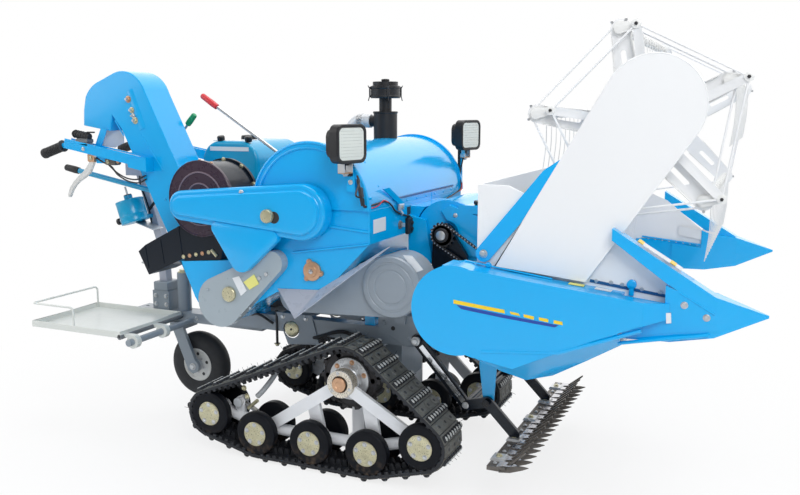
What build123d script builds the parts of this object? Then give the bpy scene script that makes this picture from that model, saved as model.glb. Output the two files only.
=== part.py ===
"""Walk-behind rice reaper on two short rubber-shod tracks, with a raised cutting header in front.

Millimetres. +X is forward, +Y is the machine's left and +Z is up; z = 0 is the ground under the tracks.
Pieces are drawn from a datum at the middle road roller, half way between the tracks, and are written
out from the middle of the whole machine.
"""
from build123d import *
import os
from math import atan2, cos, degrees, hypot, radians, sin

# The machine's middle, seen from the datum
MIDDLE = (81, -24, 0)
# Running clearance between pieces that only pass each other
GAP = 0.3

# Tracks
TRACK_GAUGE = 605
TRACK_WIDTH = 165
BELT = 10
LUG_HEIGHT = 15
LUG_LENGTH = 26
LUG_PITCH = 80
PAD_HEIGHT = 6
PAD_LENGTH = 34
ROLLER_RADIUS = 80
ROLLER_WIDTH = 38
ROLLER_AXLE = 12
# Road rollers of one side: x, height of the axle
ROLLERS = [(-424, 153), (-224, 105), (0, 105), (223, 105), (425, 160)]
SPROCKET_X = 142
SPROCKET_Z = 350
SPROCKET_RADIUS = 115
SPROCKET_TEETH = 14
TUBE_Z = 107
TUBE_RADIUS = 21
HUB_OUT = 107.5

# Chassis
RAIL_Y = 150
RAIL_WIDTH = 50
RAIL_BOTTOM = 440
RAIL_TOP = 500
RAIL_REAR = -560
RAIL_FRONT = 430
CROSS_X = [-540, -400, -250, 400]
BEAM_Y = -40
BEAM_WIDTH = 80
BEAM_HEIGHT = 40
BEAM_REAR = -1010
TOW_HOLE_X = -985
TOW_HOLE_RADIUS = 8
KINGPIN_X = -787
KINGPIN_RADIUS = 16
KINGPIN_TOP = 600

# Tail wheel
TAIL_X = -712
TAIL_Z = 218
TAIL_RADIUS = 137
TAIL_RIM = 68
TAIL_WIDTH = 66

# Tray for the grain bags
TRAY_PIVOT_X = -727
TRAY_PIVOT_Z = 407
TRAY_REAR = -1215
TRAY_NEAR = -452
TRAY_FAR = -60
TRAY_RAIL = 4
TRAY_RAIL_TOP = 515

# Handles
COLUMN_FOOT_X = -878
COLUMN_Y = -40
COLUMN_TOP_X = -985
COLUMN_TOP_Z = 1022
COLUMN_SIZE = 36
HANDLE_SPREAD = 222
HANDLE_ROOT = (-764, 1066)
HANDLE_BEND = (-1160, 1135)
HANDLE_END = (-1281, 1096)
GRIP_RADIUS = 17

# Thresher
DRUM_X = 37
DRUM_Z = 946
DRUM_RADIUS = 215
THRESHER_NEAR = -400
THRESHER_FAR = 475
BOX_FAR = -60
FRONT_PANEL_X = 252

# Engine and its fuel tank, on the rails behind the thresher
ENGINE_REAR = -600
ENGINE_FRONT = -260
ENGINE_RIGHT = -40
ENGINE_LEFT = 300
ENGINE_TOP = 850
TANK_TOP = 1150

# Header
LIFT_X = 396
LIFT_Z = 838
HEADER_HALF = 540
AUGER_X = 820
AUGER_Z = 655
AUGER_RADIUS = 125
TROUGH_RADIUS = 143
SHEET = 6
FEEDER_NEAR = -60
FEEDER_FAR = 230
FEEDER_RADIUS = 118

# Reel
REEL_X = 1086
REEL_Z = 1220
REEL_RADIUS = 270
REEL_ARMS = 5
REEL_ANGLE = 27.5
REEL_OFFSET = (46, 9)
SPIDER_Y = 470
BAT_RADIUS = 12
TINE_DROP = 172
TINE_PITCH = 60
TINES = 15

# Lower cutter and its lift
ARM_PIVOT = (344, 478)
ARM_KNEE = (525, 268)
ARM_END = (602, 289)
ARM_Y = 206
STRUT_TOP_Z = 500
CUTTER_HALF = 450
GUARDS = 18
GUARD_PITCH = 50


def side(y):
    """The plane across the machine at y, drawn with x forward and z up; an extrusion runs to the right."""
    return Plane.XZ.offset(-y)


def slab(y_from, y_to, points, mode=Mode.ADD):
    """Add a plate with this outline, seen from the side, between two distances across."""
    with BuildSketch(side(y_to)) as outline:
        Polygon(*points, align=None)
    extrude(outline.sketch, amount=y_to - y_from, mode=mode)


def hull_slab(y_from, y_to, circles, mode=Mode.ADD):
    """Add a plate whose side outline wraps these circles: x, z, radius."""
    with BuildSketch(side(y_to)) as outline:
        for x, z, radius in circles:
            with Locations((x, z)):
                Circle(radius)
        make_hull()
    extrude(outline.sketch, amount=y_to - y_from, mode=mode)


def pin(x, z, radius, y_from, y_to, mode=Mode.ADD):
    """Add a round bar across the machine."""
    with BuildSketch(side(y_to)) as disc:
        with Locations((x, z)):
            Circle(radius)
    extrude(disc.sketch, amount=y_to - y_from, mode=mode)


def block(x_from, x_to, y_from, y_to, z_from, z_to, mode=Mode.ADD):
    """Add a square block between these limits."""
    with BuildSketch(Plane.XY.offset(z_from)) as base:
        with Locations(((x_from + x_to) / 2, (y_from + y_to) / 2)):
            Rectangle(x_to - x_from, y_to - y_from)
    extrude(base.sketch, amount=z_to - z_from, mode=mode)


def bar(start, end, width, depth, across=(0, 1, 0), mode=Mode.ADD):
    """Add a flat bar from start to end; its width lies along across."""
    way = Vector(*end) - Vector(*start)
    with BuildSketch(Plane(origin=start, x_dir=across, z_dir=way)) as section:
        Rectangle(width, depth)
    extrude(section.sketch, amount=way.length, mode=mode)


def rod(start, end, radius, across=(0, 1, 0), mode=Mode.ADD):
    """Add a round bar from start to end."""
    way = Vector(*end) - Vector(*start)
    with BuildSketch(Plane(origin=start, x_dir=across, z_dir=way)) as section:
        Circle(radius)
    extrude(section.sketch, amount=way.length, mode=mode)


def tube_along(points, bend, radius):
    """Add a round rod bent along these points."""
    with BuildLine() as path:
        FilletPolyline(*points, radius=bend)
    with BuildSketch(path.line ^ 0) as section:
        Circle(radius)
    sweep(section.sketch, path=path.line)


def sheet(points, thickness):
    """Add a flat sheet through three points, thickened down from its face."""
    start, second, third = [Vector(*point) for point in points]
    face = Plane(origin=start, x_dir=second - start, z_dir=(second - start).cross(third - start))
    corners = [face.to_local_coords(point) for point in (start, second, third)]
    with BuildSketch(face) as outline:
        Polygon(*[(corner.X, corner.Y) for corner in corners], align=None)
    extrude(outline.sketch, amount=-thickness)


def keep(piece, name):
    """Write one finished piece, seen from the middle of the whole machine."""
    piece.part.label = name
    export_step(piece.part.moved(Location((-MIDDLE[0], -MIDDLE[1], -MIDDLE[2]))), f"parts/{name}.step")


def span(way, near, far):
    """Two distances across, on the right for way -1 and on the left for way 1, low one first."""
    return tuple(sorted((way * near, way * far)))


os.makedirs("parts", exist_ok=True)

SIDES = [("right", -1), ("left", 1)]
HALF_GAUGE = TRACK_GAUGE / 2
TRACK_INNER = HALF_GAUGE - TRACK_WIDTH / 2
TRACK_OUTER = HALF_GAUGE + TRACK_WIDTH / 2
WRAP = [(x, z, ROLLER_RADIUS) for x, z in ROLLERS] + [(SPROCKET_X, SPROCKET_Z, SPROCKET_RADIUS)]

# The belt's outer face, flat, to find where each shoe sits
with BuildSketch() as belt_face:
    for x, z, radius in WRAP:
        with Locations((x, z)):
            Circle(radius + BELT)
    make_hull()
belt_line = belt_face.sketch.face().outer_wire()
SHOES = round(belt_line.length / LUG_PITCH)

# Tracks: a belt round the rollers and sprocket, with a cross lug and a low pad on each shoe
SHOE_FORMS = [(0.5, LUG_LENGTH, LUG_HEIGHT), (1.0, PAD_LENGTH, PAD_HEIGHT)]
for name, way in SIDES:
    y_from, y_to = span(way, TRACK_INNER, TRACK_OUTER)
    with BuildPart() as track:
        with BuildSketch(side(y_to)) as loop:
            for x, z, radius in WRAP:
                with Locations((x, z)):
                    Circle(radius + BELT)
            make_hull()
            for shoe in range(SHOES):
                for share, length, height in SHOE_FORMS:
                    place = belt_line.position_at((shoe + share) / SHOES)
                    heading = belt_line.tangent_at((shoe + share) / SHOES)
                    with Locations((place.X, place.Y)):
                        Rectangle(length, 2 * height, rotation=degrees(atan2(heading.Y, heading.X)))
        extrude(amount=TRACK_WIDTH)
        hull_slab(y_from, y_to, WRAP, mode=Mode.SUBTRACT)
    keep(track, f"track_{name}")

# Road rollers: a pair of tyred discs on an axle, with a cap outside
ROLLER_OUTER = TRACK_OUTER - 1
ROLLER_INNER = TRACK_INNER + 1
CAP_RADIUS = 45
CAP_THICK = 3
for name, way in SIDES:
    with BuildPart() as rollers:
        for x, z in ROLLERS:
            pin(x, z, ROLLER_RADIUS - GAP, *span(way, ROLLER_OUTER - ROLLER_WIDTH, ROLLER_OUTER))
            pin(x, z, ROLLER_RADIUS - GAP, *span(way, ROLLER_INNER, ROLLER_INNER + ROLLER_WIDTH))
            pin(x, z, ROLLER_AXLE, *span(way, ROLLER_INNER, ROLLER_OUTER))
            pin(x, z, CAP_RADIUS, *span(way, ROLLER_OUTER, ROLLER_OUTER + CAP_THICK))
    keep(rollers, f"rollers_{name}")

# Drive sprockets, each with its flanged hub and the shaft end that the frame's boss carries
HUB_REACH = HALF_GAUGE + HUB_OUT
WHEEL_HALF = 30
WHEEL_INNER = HALF_GAUGE - WHEEL_HALF
WHEEL_OUTER = HALF_GAUGE + WHEEL_HALF
WINDOW_RING = 88
FLANGE_RADIUS = 74
FLANGE_THICK = 8
HUB_RADIUS = 50
HUB_LENGTH = 26
SHAFT_RADIUS = 15
BOSS_RADIUS = 48
BOSS_LENGTH = 38
NUT_RADIUS = 24
TOOTH_DEPTH = 12
for name, way in SIDES:
    with BuildPart() as sprocket:
        pin(SPROCKET_X, SPROCKET_Z, SPROCKET_RADIUS - TOOTH_DEPTH, *span(way, WHEEL_INNER, WHEEL_OUTER))
        with BuildSketch(side(span(way, WHEEL_INNER, WHEEL_OUTER)[1])) as teeth:
            with Locations((SPROCKET_X, SPROCKET_Z)):
                with PolarLocations(SPROCKET_RADIUS - TOOTH_DEPTH, SPROCKET_TEETH):
                    Rectangle(2 * TOOTH_DEPTH - 2, 16)
        extrude(amount=2 * WHEEL_HALF)
        with BuildSketch(side(span(way, WHEEL_INNER, WHEEL_OUTER)[1])) as windows:
            with Locations((SPROCKET_X, SPROCKET_Z)):
                with PolarLocations(WINDOW_RING, 6):
                    Circle(9)
        extrude(amount=2 * WHEEL_HALF, mode=Mode.SUBTRACT)
        hub_end = WHEEL_OUTER + FLANGE_THICK + HUB_LENGTH
        pin(SPROCKET_X, SPROCKET_Z, FLANGE_RADIUS, *span(way, WHEEL_OUTER, WHEEL_OUTER + FLANGE_THICK))
        pin(SPROCKET_X, SPROCKET_Z, HUB_RADIUS, *span(way, WHEEL_OUTER, hub_end))
        pin(SPROCKET_X, SPROCKET_Z, SHAFT_RADIUS, *span(way, WHEEL_OUTER, HUB_REACH + 2))
        pin(SPROCKET_X, SPROCKET_Z, NUT_RADIUS, *span(way, HUB_REACH + GAP, HUB_REACH + 8))
    keep(sprocket, f"sprocket_{name}")

# Track frames: a tube with the roller hangers, splayed legs up to the sprocket's outer boss, and the
# screw that holds the rear roller out
LEG_WIDTH = 43
POST_WIDTH = 50
LEG_THICK = 14
LEG_FEET = [(-205, 116), (392, 152)]
POSTS = [(10, 255), (229, 276)]
POST_OUT = 55.5
AXLE_HOUSING = 35
PLATE_FROM = WHEEL_INNER - 10
PLATE_TO = WHEEL_INNER - 1
SCREW_X = -332
SCREW_Z = 192
SCREW_FOOT = (-340, 133)
for name, way in SIDES:
    with BuildPart() as frame:
        for (near_x, near_z), (far_x, far_z) in zip(ROLLERS, ROLLERS[1:]):
            rod((near_x, way * HALF_GAUGE, near_z), (far_x, way * HALF_GAUGE, far_z), TUBE_RADIUS)
        for x, z in ROLLERS:
            pin(x, z, TUBE_RADIUS + 4, *span(way, HALF_GAUGE - 30, HALF_GAUGE + 30))
        foot_y = way * (HALF_GAUGE + 10)
        boss_y = way * (HUB_REACH - BOSS_LENGTH / 2)
        for foot_x, foot_z in LEG_FEET:
            start = 21 / hypot(foot_x - SPROCKET_X, SPROCKET_Z - foot_z)
            leg_start = (
                SPROCKET_X + (foot_x - SPROCKET_X) * start,
                boss_y + (foot_y - boss_y) * start,
                SPROCKET_Z + (foot_z - SPROCKET_Z) * start,
            )
            bar(leg_start, (foot_x, foot_y, foot_z), LEG_THICK, LEG_WIDTH)
        for post_x, post_z in POSTS:
            post_top = (post_x, way * (HALF_GAUGE + POST_OUT), post_z)
            bar(post_top, (post_x, foot_y, TUBE_Z + 8), LEG_THICK, POST_WIDTH)
        pin(SPROCKET_X, SPROCKET_Z, BOSS_RADIUS, *span(way, HUB_REACH - BOSS_LENGTH, HUB_REACH))
        pin(SPROCKET_X, SPROCKET_Z, AXLE_HOUSING + 14, *span(way, PLATE_FROM, PLATE_TO))
        low, high = span(way, PLATE_FROM, PLATE_TO)
        block(SPROCKET_X - 24, SPROCKET_X + 24, low, high, TUBE_Z - TUBE_RADIUS, SPROCKET_Z)
        low, high = span(way, PLATE_FROM, HALF_GAUGE)
        block(SPROCKET_X - 24, SPROCKET_X + 24, low, high, TUBE_Z - TUBE_RADIUS, TUBE_Z + TUBE_RADIUS)
        low, high = span(way, HALF_GAUGE - 9, HALF_GAUGE + 9)
        hull_slab(low, high, [(SCREW_X, SCREW_Z, 20), (*SCREW_FOOT, 20)])
        pin(SCREW_X, SCREW_Z, 16, *span(way, HALF_GAUGE - 24, HALF_GAUGE + 24))
        pin(SCREW_X, SCREW_Z, 9, *span(way, HALF_GAUGE - 25, HALF_GAUGE + 25), mode=Mode.SUBTRACT)
        for x, z in ROLLERS:
            pin(x, z, ROLLER_AXLE + GAP, *span(way, TRACK_INNER, TRACK_OUTER), mode=Mode.SUBTRACT)
        pin(SPROCKET_X, SPROCKET_Z, SHAFT_RADIUS + GAP, *span(way, HALF_GAUGE, HUB_REACH), mode=Mode.SUBTRACT)
        pin(SPROCKET_X, SPROCKET_Z, AXLE_HOUSING + GAP, *span(way, PLATE_FROM, PLATE_TO), mode=Mode.SUBTRACT)
    keep(frame, f"track_frame_{name}")

# Gearbox under the rails, with the axle housings out to the sprockets
RAIL_OUT = RAIL_Y + RAIL_WIDTH / 2
with BuildPart() as transmission:
    block(50, 234, -95, 95, 275, RAIL_BOTTOM - 10)
    block(90, 200, -RAIL_OUT, RAIL_OUT, RAIL_BOTTOM - 10, RAIL_BOTTOM)
    pin(SPROCKET_X, SPROCKET_Z, AXLE_HOUSING, -WHEEL_INNER + GAP, WHEEL_INNER - GAP)
keep(transmission, "transmission")

# Chassis: two rails with cross members, and plates on the rails' sides
SIDE_PLATE = 6
FRONT_PLATE = [(180, 545), (338, 556), (324, 455), (288, 440), (215, 478), (180, 478)]
REAR_PLATE = [(-250, 515), (-95, 515), (-66, 405), (-200, 394)]
REAR_EYE = (-184, 453)
with BuildPart() as main_frame:
    for way in (-1, 1):
        block(RAIL_REAR, RAIL_FRONT, *span(way, RAIL_Y - RAIL_WIDTH / 2, RAIL_OUT), RAIL_BOTTOM, RAIL_TOP)
        pin(*ARM_PIVOT, 12, *span(way, RAIL_OUT, ARM_Y + 22))
    for x in CROSS_X:
        block(x - 20, x + 20, -RAIL_OUT, RAIL_OUT, RAIL_BOTTOM, RAIL_TOP - 5)
keep(main_frame, "main_frame")

with BuildPart() as side_plates:
    for way in (-1, 1):
        slab(*span(way, RAIL_OUT, RAIL_OUT + SIDE_PLATE), FRONT_PLATE)
        slab(*span(way, RAIL_OUT, RAIL_OUT + SIDE_PLATE), REAR_PLATE)
        pin(*REAR_EYE, 34, *span(way, RAIL_OUT, RAIL_OUT + SIDE_PLATE), mode=Mode.SUBTRACT)
keep(side_plates, "side_plates")

# Tail beam under the rails, with the kingpin's boss, the handle column's foot, the tray's pivot and a tow hole
BEAM_FRONT = CROSS_X[1] + 20
with BuildPart() as tail_beam:
    beam_low, beam_high = BEAM_Y - BEAM_WIDTH / 2, BEAM_Y + BEAM_WIDTH / 2
    block(BEAM_REAR, BEAM_FRONT, beam_low, beam_high, RAIL_BOTTOM - BEAM_HEIGHT, RAIL_BOTTOM)
    with Locations((KINGPIN_X, BEAM_Y, RAIL_BOTTOM)):
        Cylinder(28, KINGPIN_TOP - RAIL_BOTTOM, align=(Align.CENTER, Align.CENTER, Align.MIN))
    with Locations((KINGPIN_X, BEAM_Y, RAIL_BOTTOM - BEAM_HEIGHT)):
        Cylinder(
            KINGPIN_RADIUS + GAP,
            KINGPIN_TOP - RAIL_BOTTOM + BEAM_HEIGHT,
            align=(Align.CENTER, Align.CENTER, Align.MIN),
            mode=Mode.SUBTRACT,
        )
    with Locations((TOW_HOLE_X, BEAM_Y, RAIL_BOTTOM)):
        Hole(TOW_HOLE_RADIUS, depth=BEAM_HEIGHT)
    block(COLUMN_FOOT_X - 43, COLUMN_FOOT_X + 40, BEAM_Y - 40, BEAM_Y + 40, RAIL_BOTTOM, 522)
    pin(TRAY_PIVOT_X, TRAY_PIVOT_Z, 13, TRAY_NEAR - 4, beam_low)
keep(tail_beam, "tail_beam")

# Brackets that carry the feeder house at its pivot, with the pivot's pins
POST_THICK = 20
POST_GAP = 20
POST_PROFILE = [(380, RAIL_TOP - 5), (420, RAIL_TOP - 5), (484, 765), (436, 838), (356, 838), (352, 727)]
with BuildPart() as lift_posts:
    for low, high in (
        (FEEDER_NEAR - POST_GAP - POST_THICK, FEEDER_NEAR - POST_GAP),
        (FEEDER_FAR + POST_GAP, FEEDER_FAR + POST_GAP + POST_THICK),
    ):
        slab(low, high, POST_PROFILE)
        pin(LIFT_X, LIFT_Z, 40, low, high)
    pin(LIFT_X, LIFT_Z, 20, FEEDER_NEAR - POST_GAP, FEEDER_NEAR + 20)
    pin(LIFT_X, LIFT_Z, 20, FEEDER_FAR - 20, FEEDER_FAR + POST_GAP)
    pin(LIFT_X, LIFT_Z, 12, FEEDER_NEAR - POST_GAP - POST_THICK - 16, FEEDER_NEAR - POST_GAP)
    block(396, 420, RAIL_OUT, FEEDER_FAR + POST_GAP + POST_THICK, RAIL_TOP - 28, RAIL_TOP - 4)
keep(lift_posts, "lift_posts")

# Engine on the rails, with its cylinder head, cooling hopper and flywheel, and the fuel tank above it
with BuildPart() as engine:
    block(ENGINE_REAR + 130, ENGINE_FRONT, ENGINE_RIGHT, ENGINE_LEFT, RAIL_TOP, ENGINE_TOP)
    block(ENGINE_REAR, ENGINE_REAR + 130, ENGINE_RIGHT + 60, ENGINE_LEFT - 60, 590, 800)
    block(ENGINE_REAR + 60, ENGINE_FRONT - 40, ENGINE_RIGHT + 20, ENGINE_LEFT - 20, ENGINE_TOP, 950)
    pin(ENGINE_FRONT - 115, 690, 150, ENGINE_LEFT + 12, ENGINE_LEFT + 52)
    pin(ENGINE_FRONT - 115, 690, 40, ENGINE_LEFT, ENGINE_LEFT + 64)
keep(engine, "engine")

with BuildPart() as fuel_tank:
    block(ENGINE_REAR - 40, ENGINE_FRONT - 120, ENGINE_RIGHT - 40, ENGINE_LEFT - 40, 950, TANK_TOP)
    fillet(fuel_tank.edges().filter_by(Axis.Y), 80)
    fillet(fuel_tank.faces().sort_by(Axis.Y)[0].edges() + fuel_tank.faces().sort_by(Axis.Y)[-1].edges(), 14)
    with Locations((ENGINE_REAR + 70, (ENGINE_RIGHT + ENGINE_LEFT) / 2 - 40, TANK_TOP)):
        Cylinder(30, 14, align=(Align.CENTER, Align.CENTER, Align.MIN))
keep(fuel_tank, "fuel_tank")

# Thresher: the closed drum case with its cleaning box behind on the right, under a half-round hood
ELEVATOR_NEAR = -240
ELEVATOR_FAR = -95
DRUM_CASE = [
    (FRONT_PANEL_X, DRUM_Z), (FRONT_PANEL_X, 836), (105, 684), (36, 662), (-60, 660), (-130, 640), (-178, 620),
    (-178, DRUM_Z),
]
CLEANING_BOX = [(-178, 606), (-330, 505), (-400, 520), (-455, 600), (-510, 727), (-300, 745), (-178, 860)]
FOOT_HALF = 20
with BuildPart() as thresher_body:
    slab(THRESHER_NEAR, THRESHER_FAR, DRUM_CASE)
    slab(THRESHER_NEAR, BOX_FAR, CLEANING_BOX)
    slab(THRESHER_NEAR, BOX_FAR, [(-100, 700), (-100, 650), (-178, 606), (-200, 700)])
    block(-560, -372, ELEVATOR_NEAR - GAP, ELEVATOR_FAR + GAP, 490, 800, mode=Mode.SUBTRACT)
    block(-345, -305, -RAIL_Y - FOOT_HALF, -RAIL_Y + FOOT_HALF, RAIL_TOP, 560)
    block(-170, -130, RAIL_Y - FOOT_HALF, RAIL_Y + FOOT_HALF, RAIL_TOP, 650)
    for way in (-1, 1):
        block(120, 160, *span(way, RAIL_Y - FOOT_HALF, RAIL_Y + FOOT_HALF), RAIL_TOP, 720)
    block(FRONT_PANEL_X, 330, FEEDER_NEAR, FEEDER_FAR, 760, 930)
    for low, high in ((FEEDER_NEAR - 18, FEEDER_NEAR - 2), (FEEDER_FAR + 2, FEEDER_FAR + 18)):
        slab(low, high, [(FRONT_PANEL_X, 900), (318, 884), (346, 725), (FRONT_PANEL_X, 745)])
    pin(LIFT_X, LIFT_Z, FEEDER_RADIUS + 5, FEEDER_NEAR, FEEDER_FAR, mode=Mode.SUBTRACT)
keep(thresher_body, "thresher_body")

ARCH_RADIUS = 224
ARCH_THICK = 12
RIM_WIDTH = 12
with BuildPart() as thresher_hood:
    for radius, low, high in (
        (DRUM_RADIUS, THRESHER_NEAR, THRESHER_FAR - ARCH_THICK),
        (ARCH_RADIUS, THRESHER_NEAR - ARCH_THICK, THRESHER_NEAR),
        (ARCH_RADIUS, THRESHER_FAR - ARCH_THICK, THRESHER_FAR),
    ):
        pin(DRUM_X, DRUM_Z, radius, low, high)
    pin(DRUM_X, DRUM_Z, ARCH_RADIUS - 14 - RIM_WIDTH, THRESHER_NEAR - ARCH_THICK, THRESHER_NEAR - ARCH_THICK + 4,
        mode=Mode.SUBTRACT)
    block(-300, 400, -500, 500, 600, DRUM_Z, mode=Mode.SUBTRACT)
keep(thresher_hood, "thresher_hood")

# Bearing of the lower shaft on the thresher's right wall: a disc with three bolted ears
BEARING_X = 40
BEARING_Z = 733
with BuildPart() as shaft_bearing:
    pin(BEARING_X, BEARING_Z, 33, THRESHER_NEAR - 8, THRESHER_NEAR)
    for ear in range(3):
        ear_x = BEARING_X + 34 * cos(radians(110 + 120 * ear))
        ear_z = BEARING_Z + 34 * sin(radians(110 + 120 * ear))
        pin(ear_x, ear_z, 9, THRESHER_NEAR - 8, THRESHER_NEAR)
        pin(ear_x, ear_z, 5, THRESHER_NEAR - 13, THRESHER_NEAR)
    pin(BEARING_X, BEARING_Z, 15, THRESHER_NEAR - 14, THRESHER_NEAR)
keep(shaft_bearing, "shaft_bearing")

# Belt guards on the right side: a long pressed cover, a flat grey one behind it and the drive's round one
GUARD_INNER = THRESHER_NEAR - ARCH_THICK
GUARD_OUTER = -470
LOBE_INNER = -440
GUARD_EDGE = 7
with BuildPart() as upper_belt_guard:
    hull_slab(GUARD_OUTER, GUARD_INNER, [(-453, 938, 53), (28, 937, 94)])
    fillet(upper_belt_guard.faces().sort_by(Axis.Y)[0].edges(), GUARD_EDGE)
    hull_slab(GUARD_OUTER + 2, LOBE_INNER, [(-300, 868, 24), (-206, 762, 43), (-80, 850, 24)])
keep(upper_belt_guard, "upper_belt_guard")

with BuildPart() as lower_belt_guard:
    hull_slab(LOBE_INNER + 2, THRESHER_NEAR, [(-320, 600, 90), (-100, 755, 42)])
keep(lower_belt_guard, "lower_belt_guard")

PAN_X = 300
PAN_Z = 685
PAN_RADIUS = 106
PAN_NEAR = -338
with BuildPart() as main_belt_guard:
    hull_slab(PAN_NEAR + 16, -RAIL_OUT - 15, [(PAN_X, PAN_Z, PAN_RADIUS), (-90, 612, 50)])
    block(250, 290, -RAIL_OUT - 20, -RAIL_OUT - SIDE_PLATE, 525, 620)
    pin(PAN_X, PAN_Z, PAN_RADIUS - 2, PAN_NEAR, PAN_NEAR + 16)
    fillet(main_belt_guard.faces().sort_by(Axis.Y)[0].edges(), GUARD_EDGE)
    case_line = [(x, z - 4) for x, z in DRUM_CASE[1:5]]
    slab(PAN_NEAR - 5, -RAIL_OUT + 15, [
        *case_line, (-100, 644), (-178, 600), (-178, 900), (FRONT_PANEL_X + 4, 900),
    ], mode=Mode.SUBTRACT)
keep(main_belt_guard, "main_belt_guard")

# Chute of folded sheet under the thresher's right side: a long flap and a gusset at its foot
CHUTE_SHEET = 3
CHUTE_TOP = (327, THRESHER_NEAR, 834)
CHUTE_BACK = (64, THRESHER_NEAR, 668)
CHUTE_FOOT = (7, THRESHER_NEAR - 70, 579)
CHUTE_CORNER = (-100, THRESHER_NEAR, 659)
with BuildPart() as side_chute:
    sheet((CHUTE_BACK, CHUTE_TOP, CHUTE_FOOT), CHUTE_SHEET)
    sheet((CHUTE_CORNER, CHUTE_BACK, CHUTE_FOOT), CHUTE_SHEET)
    block(-200, 400, THRESHER_NEAR, THRESHER_NEAR + 20, 500, 900, mode=Mode.SUBTRACT)
keep(side_chute, "side_chute")

# Winnowing blower: cover disc, drum with its far flange, and a housing that leads to the outlet
FAN_X = -407
FAN_Z = 960
FAN_RADIUS = 136
FAN_NEAR = -412
FAN_FAR = -244
FAN_PLATE = 12
with BuildPart() as blower_cover:
    pin(FAN_X, FAN_Z, FAN_RADIUS, FAN_NEAR + GAP, FAN_NEAR + FAN_PLATE)
keep(blower_cover, "blower_cover")

with BuildPart() as blower_housing:
    pin(FAN_X, FAN_Z, FAN_RADIUS - 8, FAN_NEAR + FAN_PLATE, FAN_FAR)
    pin(FAN_X, FAN_Z, FAN_RADIUS, FAN_FAR - FAN_PLATE, FAN_FAR)
    slab(FAN_NEAR + FAN_PLATE, FAN_FAR, [(-515, 890), (-300, 890), (-335, 745), (-495, 729)])
    slab(FAN_NEAR + FAN_PLATE, FAN_FAR, [
        (-705, 750), (-672, 776), (-515, 855), (-480, 760), (-508, 733), (-661, 665),
    ])
    slab(FAN_NEAR + FAN_PLATE, FAN_FAR, [
        (-600, 500), (-455, 600), (-510, 727), (-300, 744.7), (-178, 859.7), (-178, 500),
    ], mode=Mode.SUBTRACT)
keep(blower_housing, "blower_housing")

# Grain elevator: a box duct up from the cleaning box, over a rounded top and down into a spout
with BuildPart() as grain_elevator:
    with BuildSketch(side(ELEVATOR_FAR)) as duct:
        with BuildLine():
            Polyline((-1076, 1321), (-1088, 1270), (-1093, 1209), (-958, 1188), (-944, 1250), (-900, 1197),
                     (-577, 559), (-382, 559), (-775, 1338))
            ThreePointArc((-775, 1338), (-836, 1407), (-929, 1412))
            Line((-929, 1412), (-1000, 1383))
            ThreePointArc((-1000, 1383), (-1051, 1354), (-1076, 1321))
        make_face()
    extrude(duct.sketch, amount=ELEVATOR_FAR - ELEVATOR_NEAR)
keep(grain_elevator, "grain_elevator")

# Air cleaner behind the hood, and the bent hose from it down to the engine
CLEANER_X = 17
CLEANER_Y = 235
# Radius, foot and head of each round part
CLEANER_PARTS = [(47, 1100, 1262), (25, 1262, 1320), (58, 1318, 1362), (50, 1362, 1380), (14, 1380, 1390)]
HOSE_RADIUS = 22
HOSE_Z = 1226
with BuildPart() as air_cleaner:
    for radius, low, high in CLEANER_PARTS:
        with Locations((CLEANER_X, CLEANER_Y, low)):
            Cylinder(radius, high - low, align=(Align.CENTER, Align.CENTER, Align.MIN))
    pin(DRUM_X, DRUM_Z, DRUM_RADIUS + GAP, CLEANER_Y - 80, CLEANER_Y + 80, mode=Mode.SUBTRACT)
    rod((CLEANER_X, CLEANER_Y, HOSE_Z), (CLEANER_X - 62, CLEANER_Y, HOSE_Z), HOSE_RADIUS)
keep(air_cleaner, "air_cleaner")

with BuildPart() as intake_hose:
    tube_along([
        (CLEANER_X - 62, CLEANER_Y, HOSE_Z), (-112, CLEANER_Y, HOSE_Z), (-215, CLEANER_Y, 1100),
        (-320, CLEANER_Y, 1030), (-320, CLEANER_Y, 950),
    ], 34, HOSE_RADIUS)
keep(intake_hose, "intake_hose")

# Work lamps at the hood's front corners: side, front face x, middle y, middle z, turn inwards
LAMPS = [("right", 229, -470, 1165, 14), ("left", 290, 487, 1168, 14)]
LAMP_WIDTH = 138
LAMP_HEIGHT = 122
LAMP_CORNER = 26
LAMP_DEPTH = 34
LAMP_BACK = 64
LENS_INSET = 7
LENS_EDGE = 10
LAMP_FRONTS = [
    Plane(origin=(x, y, z), x_dir=(sin(radians(turn)), cos(radians(turn)), 0),
          z_dir=(cos(radians(turn)), -sin(radians(turn)), 0))
    for name, x, y, z, turn in LAMPS
]
with BuildPart() as lamps:
    for front in LAMP_FRONTS:
        with BuildSketch(front) as rim:
            RectangleRounded(LAMP_WIDTH, LAMP_HEIGHT, LAMP_CORNER)
        extrude(rim.sketch, amount=-LAMP_DEPTH)
        with BuildSketch(front) as case:
            RectangleRounded(LAMP_WIDTH - 34, LAMP_HEIGHT - 30, LAMP_CORNER)
        extrude(case.sketch, amount=-LAMP_BACK)
        with BuildSketch(front) as recess:
            RectangleRounded(LAMP_WIDTH - 2 * LENS_EDGE, LAMP_HEIGHT - 2 * LENS_EDGE, LAMP_CORNER - 8)
        extrude(recess.sketch, amount=-LENS_INSET, mode=Mode.SUBTRACT)
    block(176, 204, -430, GUARD_INNER, 1060, 1166 - LAMP_HEIGHT / 2)
    block(176, 204, -464, -420, 1096, 1166 - LAMP_HEIGHT / 2)
    block(236, 246, THRESHER_FAR, THRESHER_FAR + 9, 950, 1100)
    block(236, 275, THRESHER_FAR, THRESHER_FAR + 9, 1092, 1169 - LAMP_HEIGHT / 2)
    pin(DRUM_X, DRUM_Z, ARCH_RADIUS, GUARD_INNER, THRESHER_FAR, mode=Mode.SUBTRACT)
keep(lamps, "lamps")

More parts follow.
